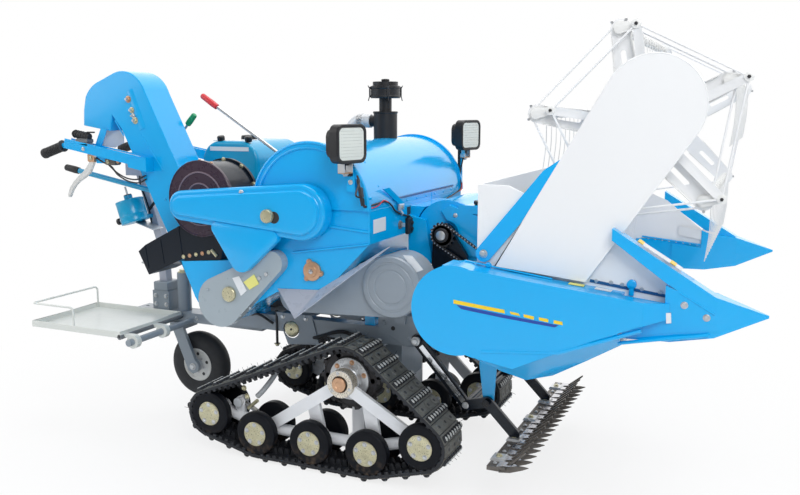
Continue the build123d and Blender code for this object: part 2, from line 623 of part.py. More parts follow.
with BuildPart() as lamp_lenses:
    for front in LAMP_FRONTS:
        with BuildSketch(front.offset(-LENS_INSET)) as glass:
            lens_width = LAMP_WIDTH - 2 * LENS_EDGE - 2 * GAP
            RectangleRounded(lens_width, lens_width - LAMP_WIDTH + LAMP_HEIGHT, LAMP_CORNER - 8 - GAP)
        extrude(glass.sketch, amount=LENS_INSET - 2)
keep(lamp_lenses, "lamp_lenses")

# Handle column, handlebar and grips
COLUMN_BEND_Z = 745
with BuildPart() as handle_column:
    column_bend = (COLUMN_FOOT_X - 14, COLUMN_Y, COLUMN_BEND_Z)
    bar((COLUMN_FOOT_X, COLUMN_Y, 510), column_bend, COLUMN_SIZE, COLUMN_SIZE)
    block(COLUMN_FOOT_X - 60, COLUMN_FOOT_X + 60, COLUMN_Y - 60, COLUMN_Y + 60, 490, 522, mode=Mode.SUBTRACT)
    bar((COLUMN_FOOT_X - 14, COLUMN_Y, COLUMN_BEND_Z - 5), (COLUMN_TOP_X, COLUMN_Y, COLUMN_TOP_Z), COLUMN_SIZE,
        COLUMN_SIZE)
    block(COLUMN_TOP_X - 40, COLUMN_TOP_X + 40, COLUMN_Y - 50, COLUMN_Y + 50, COLUMN_TOP_Z - 20, COLUMN_TOP_Z + 40)
keep(handle_column, "handle_column")

with BuildPart() as handlebar:
    for way in (-1, 1):
        y = COLUMN_Y + way * HANDLE_SPREAD
        bar((HANDLE_ROOT[0], y, HANDLE_ROOT[1]), (HANDLE_BEND[0], y, HANDLE_BEND[1]), 40, 30)
        rod((HANDLE_BEND[0], y, HANDLE_BEND[1]), (HANDLE_END[0], y, HANDLE_END[1]), 11)
    block(COLUMN_TOP_X - 30, COLUMN_TOP_X + 30, COLUMN_Y - HANDLE_SPREAD, COLUMN_Y + HANDLE_SPREAD,
          COLUMN_TOP_Z + 40, COLUMN_TOP_Z + 75)
keep(handlebar, "handlebar")

grip_run = hypot(HANDLE_END[0] - HANDLE_BEND[0], HANDLE_END[1] - HANDLE_BEND[1])
GRIP_STEP = ((HANDLE_END[0] - HANDLE_BEND[0]) / grip_run, (HANDLE_END[1] - HANDLE_BEND[1]) / grip_run)
with BuildPart() as hand_grips:
    for way in (-1, 1):
        y = COLUMN_Y + way * HANDLE_SPREAD
        grip_from = (HANDLE_BEND[0] + GRIP_STEP[0] * 24, y, HANDLE_BEND[1] + GRIP_STEP[1] * 24)
        grip_to = (HANDLE_END[0] + GRIP_STEP[0] * 10, y, HANDLE_END[1] + GRIP_STEP[1] * 10)
        bore_to = (HANDLE_END[0] + GRIP_STEP[0], y, HANDLE_END[1] + GRIP_STEP[1])
        rod(grip_from, grip_to, GRIP_RADIUS)
        rod(grip_from, bore_to, 11 + GAP, mode=Mode.SUBTRACT)
keep(hand_grips, "hand_grips")

# Levers: the shift lever on the elevator, the throttle on the hood, the gear lever on the column, and the
# clutch lever with its switch box on the right handle
HANDLE_Y = COLUMN_Y - HANDLE_SPREAD
SHIFT_Y = -150
SHIFT_END = (-1274, 1029)
SHIFT_FOOT = (-760, 935)
THROTTLE_Y = -150
THROTTLE_END = (-569, 1319)
THROTTLE_FOOT = (-172, 1068)
GEAR_Y = -60
GEAR_END = (-688, 1248)
CLUTCH_LINE = [(-1028, 1080), (-1040, 1062), (-1078, 1016), (-1130, 985), (-1162, 938)]
with BuildPart() as control_levers:
    rod((SHIFT_END[0], SHIFT_Y, SHIFT_END[1]), (SHIFT_FOOT[0], SHIFT_Y, SHIFT_FOOT[1]), 11)
    rod((THROTTLE_END[0], THROTTLE_Y, THROTTLE_END[1]), (THROTTLE_FOOT[0], THROTTLE_Y, THROTTLE_FOOT[1]), 6)
    block(-178, -130, THROTTLE_Y - 14, THROTTLE_Y + 14, 1050, 1086)
    pin(DRUM_X, DRUM_Z, DRUM_RADIUS, THROTTLE_Y - 20, THROTTLE_Y + 20, mode=Mode.SUBTRACT)
    slab(ELEVATOR_NEAR, ELEVATOR_FAR, [(-900, 1197), (-577, 559), (-382, 559), (-775, 1338)], mode=Mode.SUBTRACT)
    tube_along([
        (GEAR_END[0], GEAR_Y, GEAR_END[1]), (-768, GEAR_Y, 1160), (-880, GEAR_Y, 1062),
        (COLUMN_TOP_X + 40, GEAR_Y, COLUMN_TOP_Z + 20),
    ], 30, 5)
    block(COLUMN_TOP_X - 40, COLUMN_TOP_X + 40, GEAR_Y - 10, GEAR_Y + 10, COLUMN_TOP_Z - 20, COLUMN_TOP_Z + 40,
          mode=Mode.SUBTRACT)
    for start, end in zip(CLUTCH_LINE, CLUTCH_LINE[1:]):
        hull_slab(HANDLE_Y - 7, HANDLE_Y + 7, [(*start, 8), (*end, 7)])
    block(-1048, -1018, HANDLE_Y - 10, HANDLE_Y + 10, 1070, 1100)
    block(-1106, -1040, HANDLE_Y - 18, HANDLE_Y + 18, 1132, 1160)
    handle_line = [(HANDLE_ROOT[0], HANDLE_ROOT[1]), (HANDLE_BEND[0], HANDLE_BEND[1])]
    bar((handle_line[0][0], HANDLE_Y, handle_line[0][1]), (handle_line[1][0], HANDLE_Y, handle_line[1][1]),
        40.01, 30.01, mode=Mode.SUBTRACT)
keep(control_levers, "control_levers")

# Their ends: start and end of each grip as x, z, then its y and radius
KNOBS = [
    ("shift", (-1290, 1032), (-1216, 1018), SHIFT_Y, 15),
    ("throttle", (-572, 1321), (-508, 1280), THROTTLE_Y, 11),
    ("gear", (-686, 1250), (-722, 1211), GEAR_Y, 12),
    ("switch", (-1124, 1178), (-1036, 1164), HANDLE_Y, 15),
]
with BuildPart() as lever_knobs:
    for name, start, end, y, radius in KNOBS:
        rod((start[0], y, start[1]), (end[0], y, end[1]), radius)
    rod((SHIFT_END[0], SHIFT_Y, SHIFT_END[1]), (SHIFT_FOOT[0], SHIFT_Y, SHIFT_FOOT[1]), 11, mode=Mode.SUBTRACT)
    rod((THROTTLE_END[0], THROTTLE_Y, THROTTLE_END[1]), (THROTTLE_FOOT[0], THROTTLE_Y, THROTTLE_FOOT[1]), 6,
        mode=Mode.SUBTRACT)
    rod((GEAR_END[0], GEAR_Y, GEAR_END[1]), (-768, GEAR_Y, 1160), 5, mode=Mode.SUBTRACT)
    block(-1140, -1020, HANDLE_Y - 20, HANDLE_Y + 20, 1130, 1160, mode=Mode.SUBTRACT)
keep(lever_knobs, "lever_knobs")

# Can hung on the column
CAN_RADIUS = 56
CAN_Y = COLUMN_Y - COLUMN_SIZE / 2 - CAN_RADIUS - 4
with BuildPart() as oil_can:
    rod((-960, CAN_Y, 812), (-989, CAN_Y, 902), CAN_RADIUS, across=(0, 1, 0))
    rod((-989, CAN_Y, 902), (-995, CAN_Y, 921), 17)
    bar((-946, CAN_Y, 842), (-1046, CAN_Y, 810), 12, 12)
    block(-968, -918, CAN_Y, COLUMN_Y - COLUMN_SIZE / 2, 828, 842)
keep(oil_can, "oil_can")

# Tail wheel on its swivelling fork
FORK_Y = BEAM_Y - 52
with BuildPart() as tail_fork:
    with Locations((KINGPIN_X, BEAM_Y, RAIL_BOTTOM - BEAM_HEIGHT - 18)):
        Cylinder(KINGPIN_RADIUS, KINGPIN_TOP - RAIL_BOTTOM + BEAM_HEIGHT + 26,
                 align=(Align.CENTER, Align.CENTER, Align.MIN))
    block(KINGPIN_X - 34, KINGPIN_X + 34, FORK_Y - 8, BEAM_Y + 34, 372, RAIL_BOTTOM - BEAM_HEIGHT - 2)
    bar((KINGPIN_X, FORK_Y, 384), (TAIL_X, FORK_Y, TAIL_Z - 10), 16, 50)
    pin(TAIL_X, TAIL_Z, 28, FORK_Y - 8, FORK_Y + 8)
    pin(TAIL_X, TAIL_Z, 10, FORK_Y - 8, BEAM_Y + 42)
keep(tail_fork, "tail_fork")

with BuildPart() as tail_rim:
    pin(TAIL_X, TAIL_Z, TAIL_RIM, BEAM_Y - 24, BEAM_Y + 24)
    pin(TAIL_X, TAIL_Z, 24, BEAM_Y - 38, BEAM_Y + 38)
    pin(TAIL_X, TAIL_Z, 10.06, BEAM_Y - 40, BEAM_Y + 40, mode=Mode.SUBTRACT)
keep(tail_rim, "tail_rim")

with BuildPart() as tail_tyre:
    pin(TAIL_X, TAIL_Z, TAIL_RADIUS, BEAM_Y - TAIL_WIDTH / 2, BEAM_Y + TAIL_WIDTH / 2)
    chamfer(tail_tyre.edges().filter_by(GeomType.CIRCLE), 14)
    pin(TAIL_X, TAIL_Z, TAIL_RIM, BEAM_Y - TAIL_WIDTH, BEAM_Y + TAIL_WIDTH, mode=Mode.SUBTRACT)
keep(tail_tyre, "tail_tyre")

# Tray: a folded sheet with upturned edges on a pivot tube, and a rail round the back and the right side
TRAY_EDGE = 22
TRAY_SHEET = 4
TRAY_FLOOR = TRAY_PIVOT_Z + 14
TRAY_LEFT = TRAY_FAR - 30
TRAY_MID_Y = (TRAY_NEAR + TRAY_FAR) / 2
TRAY_RAIL_END = -1000
with BuildPart() as tray:
    block(TRAY_REAR, TRAY_PIVOT_X - 40, TRAY_NEAR, TRAY_LEFT, TRAY_FLOOR, TRAY_FLOOR + TRAY_EDGE)
    block(TRAY_REAR + TRAY_SHEET, TRAY_PIVOT_X - 60, TRAY_NEAR + TRAY_SHEET, TRAY_LEFT - TRAY_SHEET,
          TRAY_FLOOR + TRAY_SHEET, TRAY_PIVOT_Z + 60, mode=Mode.SUBTRACT)
    rail_x, rail_y = TRAY_REAR + TRAY_RAIL + 1, TRAY_NEAR + TRAY_RAIL + 1
    tube_along([
        (rail_x, TRAY_LEFT - 6, TRAY_FLOOR + 1), (rail_x, TRAY_LEFT - 6, TRAY_RAIL_TOP),
        (rail_x, rail_y, TRAY_RAIL_TOP), (TRAY_RAIL_END, rail_y, TRAY_RAIL_TOP),
        (TRAY_RAIL_END, rail_y, TRAY_FLOOR + 1),
    ], 16, TRAY_RAIL)
    for y in (TRAY_NEAR + 30, TRAY_MID_Y):
        block(TRAY_PIVOT_X - 60, TRAY_PIVOT_X, y - 12, y + 12, TRAY_FLOOR, TRAY_FLOOR + 12)
        pin(TRAY_PIVOT_X, TRAY_PIVOT_Z, 26, y - 12, y + 12)
        pin(TRAY_PIVOT_X, TRAY_PIVOT_Z, 13.08, y - 20, y + 20, mode=Mode.SUBTRACT)
keep(tray, "tray")

# Header: trough, back sheet and floor, with the lugs that the lift struts push on
FLOOR_TURN = 30
FLOOR_FRONT = (1083, 641)
BACK_X = AUGER_X - TROUGH_RADIUS
BACK_TOP = 1060
ARC_END = (
    AUGER_X + TROUGH_RADIUS * sin(radians(FLOOR_TURN)),
    AUGER_Z - TROUGH_RADIUS * cos(radians(FLOOR_TURN)),
)
SHEET_STEP = (SHEET * sin(radians(FLOOR_TURN)), -SHEET * cos(radians(FLOOR_TURN)))
# How far the wedge that opens the trough reaches from the auger's axis
WEDGE = 380
WEDGE_DROP = (AUGER_X + WEDGE * sin(radians(FLOOR_TURN)), AUGER_Z - WEDGE * cos(radians(FLOOR_TURN)))
with BuildPart() as header_tub:
    pin(AUGER_X, AUGER_Z, TROUGH_RADIUS + SHEET, -HEADER_HALF, HEADER_HALF)
    pin(AUGER_X, AUGER_Z, TROUGH_RADIUS, -HEADER_HALF, HEADER_HALF, mode=Mode.SUBTRACT)
    slab(-HEADER_HALF, HEADER_HALF, [
        (AUGER_X, AUGER_Z), (AUGER_X - 220, AUGER_Z), (AUGER_X - 220, AUGER_Z + 245),
        (AUGER_X + WEDGE, AUGER_Z + 245), (AUGER_X + WEDGE, WEDGE_DROP[1]), WEDGE_DROP,
    ], mode=Mode.SUBTRACT)
    slab(-HEADER_HALF, HEADER_HALF, [
        (BACK_X - SHEET, AUGER_Z), (BACK_X, AUGER_Z), (BACK_X, BACK_TOP), (BACK_X - SHEET, BACK_TOP),
    ])
    slab(-HEADER_HALF, HEADER_HALF, [
        ARC_END, FLOOR_FRONT, (FLOOR_FRONT[0] + SHEET_STEP[0], FLOOR_FRONT[1] + SHEET_STEP[1]),
        (ARC_END[0] + SHEET_STEP[0], ARC_END[1] + SHEET_STEP[1]),
    ])
    block(BACK_X - 2 * SHEET, BACK_X + SHEET, FEEDER_NEAR + SHEET, FEEDER_FAR - SHEET, 640, 815, mode=Mode.SUBTRACT)
    for way in (-1, 1):
        slab(*span(way, ARM_Y + 12, ARM_Y + 20), [
            (580, 530), (620, 530), (720, 545), (720, 580), (620, 580), (580, 570),
        ])
keep(header_tub, "header_tub")

# Header walls
WALL_SIDE = [
    (BACK_X - SHEET, 590), (745, 522), (827, 503), (905, 527), (1098, 640), (1098, 762), (1205, 752), (1203, 820),
    (1072, 926), (760, BACK_TOP), (BACK_X - SHEET, BACK_TOP),
]
with BuildPart() as header_walls:
    for way in (-1, 1):
        slab(*span(way, HEADER_HALF, HEADER_HALF + SHEET), WALL_SIDE)
        pin(AUGER_X, AUGER_Z, 12.06, *span(way, HEADER_HALF - 1, HEADER_HALF + SHEET + 1), mode=Mode.SUBTRACT)
keep(header_walls, "header_walls")

# Drive cover on the right end of the header, tapering in to the divider in front
COVER_DEPTH = 94
COVER_INNER = -(HEADER_HALF + SHEET)
COVER_OUTER = COVER_INNER - COVER_DEPTH
DIVIDER_DEPTH = 46
DIVIDER_OUT = HEADER_HALF + SHEET + DIVIDER_DEPTH
COVER_TURN_X = 1156
COVER_FRONT_X = 1219
COVER_EDGE = 8
with BuildPart() as drive_cover:
    pin(635, 705, 131, COVER_OUTER, COVER_INNER)
    slab(COVER_OUTER, COVER_INNER, [
        (600, 836), (898, 803), (1095, 783), (1095, 688), (1042, 666), (944, 621), (811, 556), (687, 576),
        (560, 604),
    ])
    slab(COVER_OUTER, -DIVIDER_OUT - GAP, [
        (1090, 783.5), (COVER_TURN_X, 777), (COVER_FRONT_X, 770), (COVER_FRONT_X - 5, 728), (COVER_TURN_X - 4, 713),
        (1090, 686),
    ])
    with BuildSketch(Plane.XY.offset(600)) as taper:
        Polygon((COVER_TURN_X, COVER_OUTER - 1), (COVER_FRONT_X + 1, -DIVIDER_OUT),
                (COVER_FRONT_X + 1, COVER_OUTER - 1),
                align=None)
    extrude(taper.sketch, amount=300, mode=Mode.SUBTRACT)
    pin(AUGER_X, AUGER_Z, 16, COVER_INNER - 12, COVER_INNER, mode=Mode.SUBTRACT)
keep(drive_cover, "drive_cover")

# Feeder house, from its pivot on the chassis to the back of the header
THROAT_TOP = 900
THROAT_BOTTOM = 620
with BuildPart() as feeder_house:
    slab(FEEDER_NEAR, FEEDER_FAR, [
        (LIFT_X, LIFT_Z + FEEDER_RADIUS), (BACK_X - SHEET, THROAT_TOP), (BACK_X - SHEET, THROAT_BOTTOM),
        (LIFT_X, LIFT_Z - FEEDER_RADIUS),
    ])
    pin(LIFT_X, LIFT_Z, FEEDER_RADIUS, FEEDER_NEAR, FEEDER_FAR)
    pin(LIFT_X, LIFT_Z, 20.08, FEEDER_NEAR, FEEDER_NEAR + 21, mode=Mode.SUBTRACT)
    pin(LIFT_X, LIFT_Z, 20.08, FEEDER_FAR - 21, FEEDER_FAR, mode=Mode.SUBTRACT)
keep(feeder_house, "feeder_house")

FEEDER_GUARD = 14
with BuildPart() as feeder_guard:
    slab(FEEDER_NEAR - FEEDER_GUARD, FEEDER_NEAR, [
        (376, 918), (406, 941), (525, 901), (570, 890), (570, 740), (516, 763), (480, 764), (440, 800), (428, 842),
    ])
    pin(LIFT_X, LIFT_Z, 46, FEEDER_NEAR - FEEDER_GUARD - 1, FEEDER_NEAR + 1, mode=Mode.SUBTRACT)
    block(440, 560, FEEDER_NEAR - FEEDER_GUARD, FEEDER_NEAR + 80, 912, 942)
    slab(FEEDER_NEAR, FEEDER_FAR, [
        (LIFT_X, LIFT_Z), (LIFT_X, LIFT_Z + FEEDER_RADIUS), (BACK_X - SHEET, THROAT_TOP), (BACK_X - SHEET, LIFT_Z),
    ], mode=Mode.SUBTRACT)
keep(feeder_guard, "feeder_guard")

# Drive of the feeder: a sprocket outside the bracket, its chain and the cross shaft to the drive cover
CHAIN_Y = FEEDER_NEAR - POST_GAP - POST_THICK - 14
CHAIN_HALF = 5
FEEDER_TEETH = 40
SHAFT_X = 600
SHAFT_Z = 712
CROSS_TEETH = 34
with BuildPart() as feeder_drive:
    hull_slab(CHAIN_Y - CHAIN_HALF, CHAIN_Y + CHAIN_HALF, [
        (LIFT_X, LIFT_Z, FEEDER_TEETH), (SHAFT_X, SHAFT_Z, CROSS_TEETH),
    ])
    hull_slab(CHAIN_Y - CHAIN_HALF - 1, CHAIN_Y + CHAIN_HALF + 1, [
        (LIFT_X, LIFT_Z, FEEDER_TEETH - 6), (SHAFT_X, SHAFT_Z, CROSS_TEETH - 6),
    ], mode=Mode.SUBTRACT)
    for x, z, radius in ((LIFT_X, LIFT_Z, FEEDER_TEETH), (SHAFT_X, SHAFT_Z, CROSS_TEETH)):
        pin(x, z, radius - 3, CHAIN_Y - 3, CHAIN_Y + 3)
    pin(LIFT_X, LIFT_Z, 22, CHAIN_Y - 10, CHAIN_Y + 10)
    pin(LIFT_X, LIFT_Z, 12.08, CHAIN_Y - 11, CHAIN_Y + 11, mode=Mode.SUBTRACT)
    pin(SHAFT_X, SHAFT_Z, 12, COVER_INNER, CHAIN_Y + 12)
    block(SHAFT_X - 14, BACK_X - SHEET, CHAIN_Y - 34, CHAIN_Y - 24, SHAFT_Z - 18, SHAFT_Z + 18)
keep(feeder_drive, "feeder_drive")

# Crop dividers: a sloping rail, a body, a liner inside the wall and a pointed nose at each end
NOSE_X = 1330
TIP_X = 1457
TIP_Z = 752
NOSE_LOW = 690
NOSE_HIGH = 797
LINER = HEADER_HALF - 6
BODY_INNER = HEADER_HALF - 12
with BuildPart() as dividers:
    for way in (-1, 1):
        slab(*span(way, HEADER_HALF + SHEET, DIVIDER_OUT), [
            (1062, 960), (1088, 944), (NOSE_X, NOSE_HIGH), (NOSE_X, 752), (1206, 824), (1062, 928),
        ])
        slab(*span(way, BODY_INNER, DIVIDER_OUT), [
            (1205.3, 818), (1205.3, 751.7), (1098.3, 761.7), (1098.3, 665), (1222, 668), (NOSE_X, NOSE_LOW),
            (NOSE_X, NOSE_HIGH), (1240, 805),
        ])
        slab(*span(way, LINER, HEADER_HALF - GAP), [
            (962, 772), (1008, 775), (1205.3, 760), (1205.3, 752), (1098.3, 700), (1098.3, 665),
            (1084, 648), (968, 582),
        ])
        middle = way * (DIVIDER_OUT + BODY_INNER) / 2
        with BuildSketch(Plane.YZ.offset(NOSE_X)) as base:
            with Locations((middle, (NOSE_LOW + NOSE_HIGH) / 2)):
                Rectangle(DIVIDER_OUT - BODY_INNER, NOSE_HIGH - NOSE_LOW)
        with BuildSketch(Plane.YZ.offset(TIP_X)) as tip:
            with Locations((middle, TIP_Z)):
                Rectangle(8, 6)
        loft(sections=[base.sketch.face(), tip.sketch.face()])
    slab(COVER_INNER - 17, COVER_INNER, [(731, 829), (992, 802), (1266, 1213), (1040, 1360)], mode=Mode.SUBTRACT)
keep(dividers, "dividers")

# Knife under the header's front edge
FINGER_PITCH = 50
FINGERS = 20
with BuildPart() as header_knife:
    block(1086.2, 1097, -HEADER_HALF + 14, HEADER_HALF - 14, 634, 644)
    for finger in range(FINGERS):
        y = (finger - (FINGERS - 1) / 2) * FINGER_PITCH
        slab(y - 4, y + 4, [(1096, 632), (1152, 638), (1152, 642), (1096, 646)])
keep(header_knife, "header_knife")

# Auger: tube with flights
FLIGHT_PITCH = 100
FLIGHTS = 11
with BuildPart() as auger:
    pin(AUGER_X, AUGER_Z, 55, -HEADER_HALF + 6, HEADER_HALF - 6)
    pin(AUGER_X, AUGER_Z, 12, -HEADER_HALF - SHEET - 8, HEADER_HALF + SHEET)
    for flight in range(FLIGHTS):
        y = (flight - (FLIGHTS - 1) / 2) * FLIGHT_PITCH
        pin(AUGER_X, AUGER_Z, AUGER_RADIUS, y - 3, y + 3)
keep(auger, "auger")

# Reel arms up the outside of the walls, and the plate that covers the reel drive
ARM_FOOT = (695, 862, 24)
ARM_BEND = (880, 1088, 24)
ARM_INNER = HEADER_HALF + SHEET
ARM_OUTER = ARM_INNER + 12
with BuildPart() as reel_arms:
    for way in (-1, 1):
        low, high = span(way, ARM_INNER, ARM_OUTER)
        hull_slab(low, high, [ARM_FOOT, ARM_BEND])
        hull_slab(low, high, [ARM_BEND, (REEL_X, REEL_Z, 30)])
        pin(REEL_X, REEL_Z, 18.06, low, high, mode=Mode.SUBTRACT)
keep(reel_arms, "reel_arms")

PLATE_THICK = 4
with BuildPart() as reel_plate:
    slab(-ARM_OUTER - PLATE_THICK, -ARM_OUTER, [(731, 829), (989, 805), (1262, 1215), (1040, 1360)])
    pin(1149, 1282, 132, -ARM_OUTER - PLATE_THICK, -ARM_OUTER)
keep(reel_plate, "reel_plate")

# Reel: a shaft with two spiders, a second spider set off to one side, and the bats between their arms
ARM_ANGLES = [radians(REEL_ANGLE + 360 / REEL_ARMS * arm) for arm in range(REEL_ARMS)]
ARM_ENDS = [(REEL_X + REEL_RADIUS * cos(angle), REEL_Z + REEL_RADIUS * sin(angle)) for angle in ARM_ANGLES]
RING_X = REEL_X + REEL_OFFSET[0]
RING_Z = REEL_Z + REEL_OFFSET[1]
RING_ENDS = [(x + REEL_OFFSET[0], z + REEL_OFFSET[1]) for x, z in ARM_ENDS]
SPIDER_THICK = 5
STAY_RADIUS = 3
STAY_OUT = 20
with BuildPart() as reel_spiders:
    pin(REEL_X, REEL_Z, 18, -ARM_OUTER, ARM_OUTER)
    for way in (-1, 1):
        low, high = span(way, SPIDER_Y, SPIDER_Y + SPIDER_THICK)
        pin(REEL_X, REEL_Z, 60, low, high)
        for angle, (x, z) in zip(ARM_ANGLES, ARM_ENDS):
            hull_slab(low, high, [(REEL_X, REEL_Z, 34), (x, z, 26)])
            slot_start = (REEL_X + 150 * cos(angle), REEL_Z + 150 * sin(angle), 7)
            slot_end = (REEL_X + 205 * cos(angle), REEL_Z + 205 * sin(angle), 7)
            hull_slab(low, high, [slot_start, slot_end], mode=Mode.SUBTRACT)
        for near_angle, far_angle in zip(ARM_ANGLES, ARM_ANGLES[1:] + ARM_ANGLES[:1]):
            stay_radius = REEL_RADIUS + STAY_OUT
            stay_y = way * (SPIDER_Y + SPIDER_THICK / 2)
            stay_start = (REEL_X + stay_radius * cos(near_angle), stay_y, REEL_Z + stay_radius * sin(near_angle))
            stay_end = (REEL_X + stay_radius * cos(far_angle), stay_y, REEL_Z + stay_radius * sin(far_angle))
            rod(stay_start, stay_end, STAY_RADIUS)
        for x, z in ARM_ENDS:
            pin(x, z, BAT_RADIUS + 0.08, low - 1, high + 1, mode=Mode.SUBTRACT)
keep(reel_spiders, "reel_spiders")

ECCENTRIC_Y = -494
RING_INNER = 76
with BuildPart() as reel_eccentric:
    low, high = ECCENTRIC_Y - SPIDER_THICK, ECCENTRIC_Y
    for x, z in RING_ENDS:
        hull_slab(low, high, [(RING_X, RING_Z, 12), (x, z, 12)])
    for near_end, far_end in zip(RING_ENDS, RING_ENDS[1:] + RING_ENDS[:1]):
        stay_y = (low + high) / 2
        rod((near_end[0], stay_y, near_end[1]), (far_end[0], stay_y, far_end[1]), STAY_RADIUS)
    pin(RING_X, RING_Z, RING_INNER + 16, low, high)
    pin(RING_X, RING_Z, RING_INNER, low, high, mode=Mode.SUBTRACT)
    for x, z in RING_ENDS:
        pin(x, z, 6.08, low - 1, high + 1, mode=Mode.SUBTRACT)
keep(reel_eccentric, "reel_eccentric")

for arm, (x, z) in enumerate(ARM_ENDS):
    with BuildPart() as bat:
        pin(x, z, BAT_RADIUS, ECCENTRIC_Y + 6, SPIDER_Y + SPIDER_THICK + 8)
        hull_slab(ECCENTRIC_Y + 6, ECCENTRIC_Y + 12, [(x, z, 14), (x + REEL_OFFSET[0], z + REEL_OFFSET[1], 10)])
        pin(x + REEL_OFFSET[0], z + REEL_OFFSET[1], 6, ECCENTRIC_Y - SPIDER_THICK - 4, ECCENTRIC_Y + 12)
        for tine in range(TINES):
            y = (tine - (TINES - 1) / 2) * TINE_PITCH
            block(x - 2, x + 2, y - 2, y + 2, z - TINE_DROP, z)
    keep(bat, f"reel_bat_{arm + 1}")

# Lift arms under the chassis and the struts from them to the header
with BuildPart() as lift_arms:
    for way in (-1, 1):
        low, high = span(way, ARM_Y - 7, ARM_Y + 7)
        hull_slab(low, high, [(*ARM_PIVOT, 22), (*ARM_KNEE, 18)])
        hull_slab(low, high, [(*ARM_KNEE, 18), (*ARM_END, 18)])
        hull_slab(low, high, [(*ARM_END, 18), (700, 190, 18)])
        pin(*ARM_PIVOT, 12.08, low, high, mode=Mode.SUBTRACT)
        pin(*ARM_END, 9, *span(way, ARM_Y - 18, ARM_Y + 7))
    pin(*ARM_KNEE, 14, -ARM_Y, ARM_Y)
keep(lift_arms, "lift_arms")

with BuildPart() as lower_cutter:
    block(680, 720, -CUTTER_HALF, CUTTER_HALF, 158, 172)
    block(720, 740, -CUTTER_HALF, CUTTER_HALF, 164, 172)
    for guard in range(GUARDS):
        y = (guard - (GUARDS - 1) / 2) * GUARD_PITCH
        slab(y - 5, y + 5, [(738, 160), (738, 176), (794, 222), (797, 218)])
keep(lower_cutter, "lower_cutter")

STRUT_TOP = (600, 550)
with BuildPart() as lift_struts:
    for way in (-1, 1):
        low, high = span(way, ARM_Y - 18, ARM_Y - 8)
        hull_slab(low, high, [(*ARM_END, 18), (598, 416, 30)])
        hull_slab(low, high, [(598, 416, 30), (*STRUT_TOP, 18)])
        pin(*ARM_END, 9.08, low, high, mode=Mode.SUBTRACT)
keep(lift_struts, "lift_struts")
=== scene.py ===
"""Looks of the walk-behind rice reaper: finishes on every surface, and the small pieces round its frame.

Lengths are millimetres from the reaper's datum, which is the middle road roller, half way between the
tracks, on the ground: x forward, y to the machine's left, z up. Form.done() moves a piece to the frame's
metres. The camera, the floor and the lamps are in the frame's metres.
"""
import math

import bmesh
import bpy
from mathutils import Matrix, Vector

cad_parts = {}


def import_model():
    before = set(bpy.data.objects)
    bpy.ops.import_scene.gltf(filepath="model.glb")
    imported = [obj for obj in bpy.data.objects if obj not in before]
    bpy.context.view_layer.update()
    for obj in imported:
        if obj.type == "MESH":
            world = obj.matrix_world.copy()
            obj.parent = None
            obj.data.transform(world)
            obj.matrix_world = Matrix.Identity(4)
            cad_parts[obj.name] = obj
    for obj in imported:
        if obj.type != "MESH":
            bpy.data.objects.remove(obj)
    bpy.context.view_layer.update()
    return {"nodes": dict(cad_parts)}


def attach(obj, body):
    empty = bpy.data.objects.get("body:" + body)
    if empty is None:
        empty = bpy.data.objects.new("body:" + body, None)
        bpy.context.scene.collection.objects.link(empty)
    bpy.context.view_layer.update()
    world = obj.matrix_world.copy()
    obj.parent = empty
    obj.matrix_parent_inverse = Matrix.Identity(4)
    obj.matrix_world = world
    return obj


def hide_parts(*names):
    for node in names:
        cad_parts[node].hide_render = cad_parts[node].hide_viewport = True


MIDDLE = Vector((81, -24, 0))
FORWARD, LEFT, UP = Vector((1, 0, 0)), Vector((0, 1, 0)), Vector((0, 0, 1))
RIGHT = -LEFT
SIDES = (("right", -1), ("left", 1))

# Objects and nodes


def add_object(name, data):
    """A new object in the scene."""
    made = bpy.data.objects.new(name, data)
    bpy.context.scene.collection.objects.link(made)
    return made


def empty_tree(owner):
    """The node tree of a world or material, with nothing in it."""
    owner.use_nodes = True
    owner.node_tree.nodes.clear()
    return owner.node_tree


def feed(tree, made, inputs):
    """Set inputs of a node, each to a value, to an output, or to another node's first output."""
    for key, value in inputs.items():
        if isinstance(value, bpy.types.Node):
            value = value.outputs[0]
        if isinstance(value, bpy.types.NodeSocket):
            tree.links.new(value, made.inputs[key])
        else:
            made.inputs[key].default_value = value


def node(tree, kind, inputs=None, **settings):
    """A new node with these inputs and settings."""
    made = tree.nodes.new(kind)
    for key, value in settings.items():
        setattr(made, key, value)
    feed(tree, made, inputs or {})
    return made


# Camera, floor and light


def make_camera():
    """A camera where the photograph's stood, ahead of the machine's middle on its right."""
    data = bpy.data.cameras.new("camera")
    data.lens = 38.05
    data.sensor_width = 36
    data.clip_end = 60
    camera = add_object("camera", data)
    camera.location = (1.3669, -2.8235, 1.270)
    view = Vector((-0.4003, 0.9022, -0.1605))
    camera.rotation_euler = view.to_track_quat("-Z", "Y").to_euler()
    bpy.context.scene.camera = camera


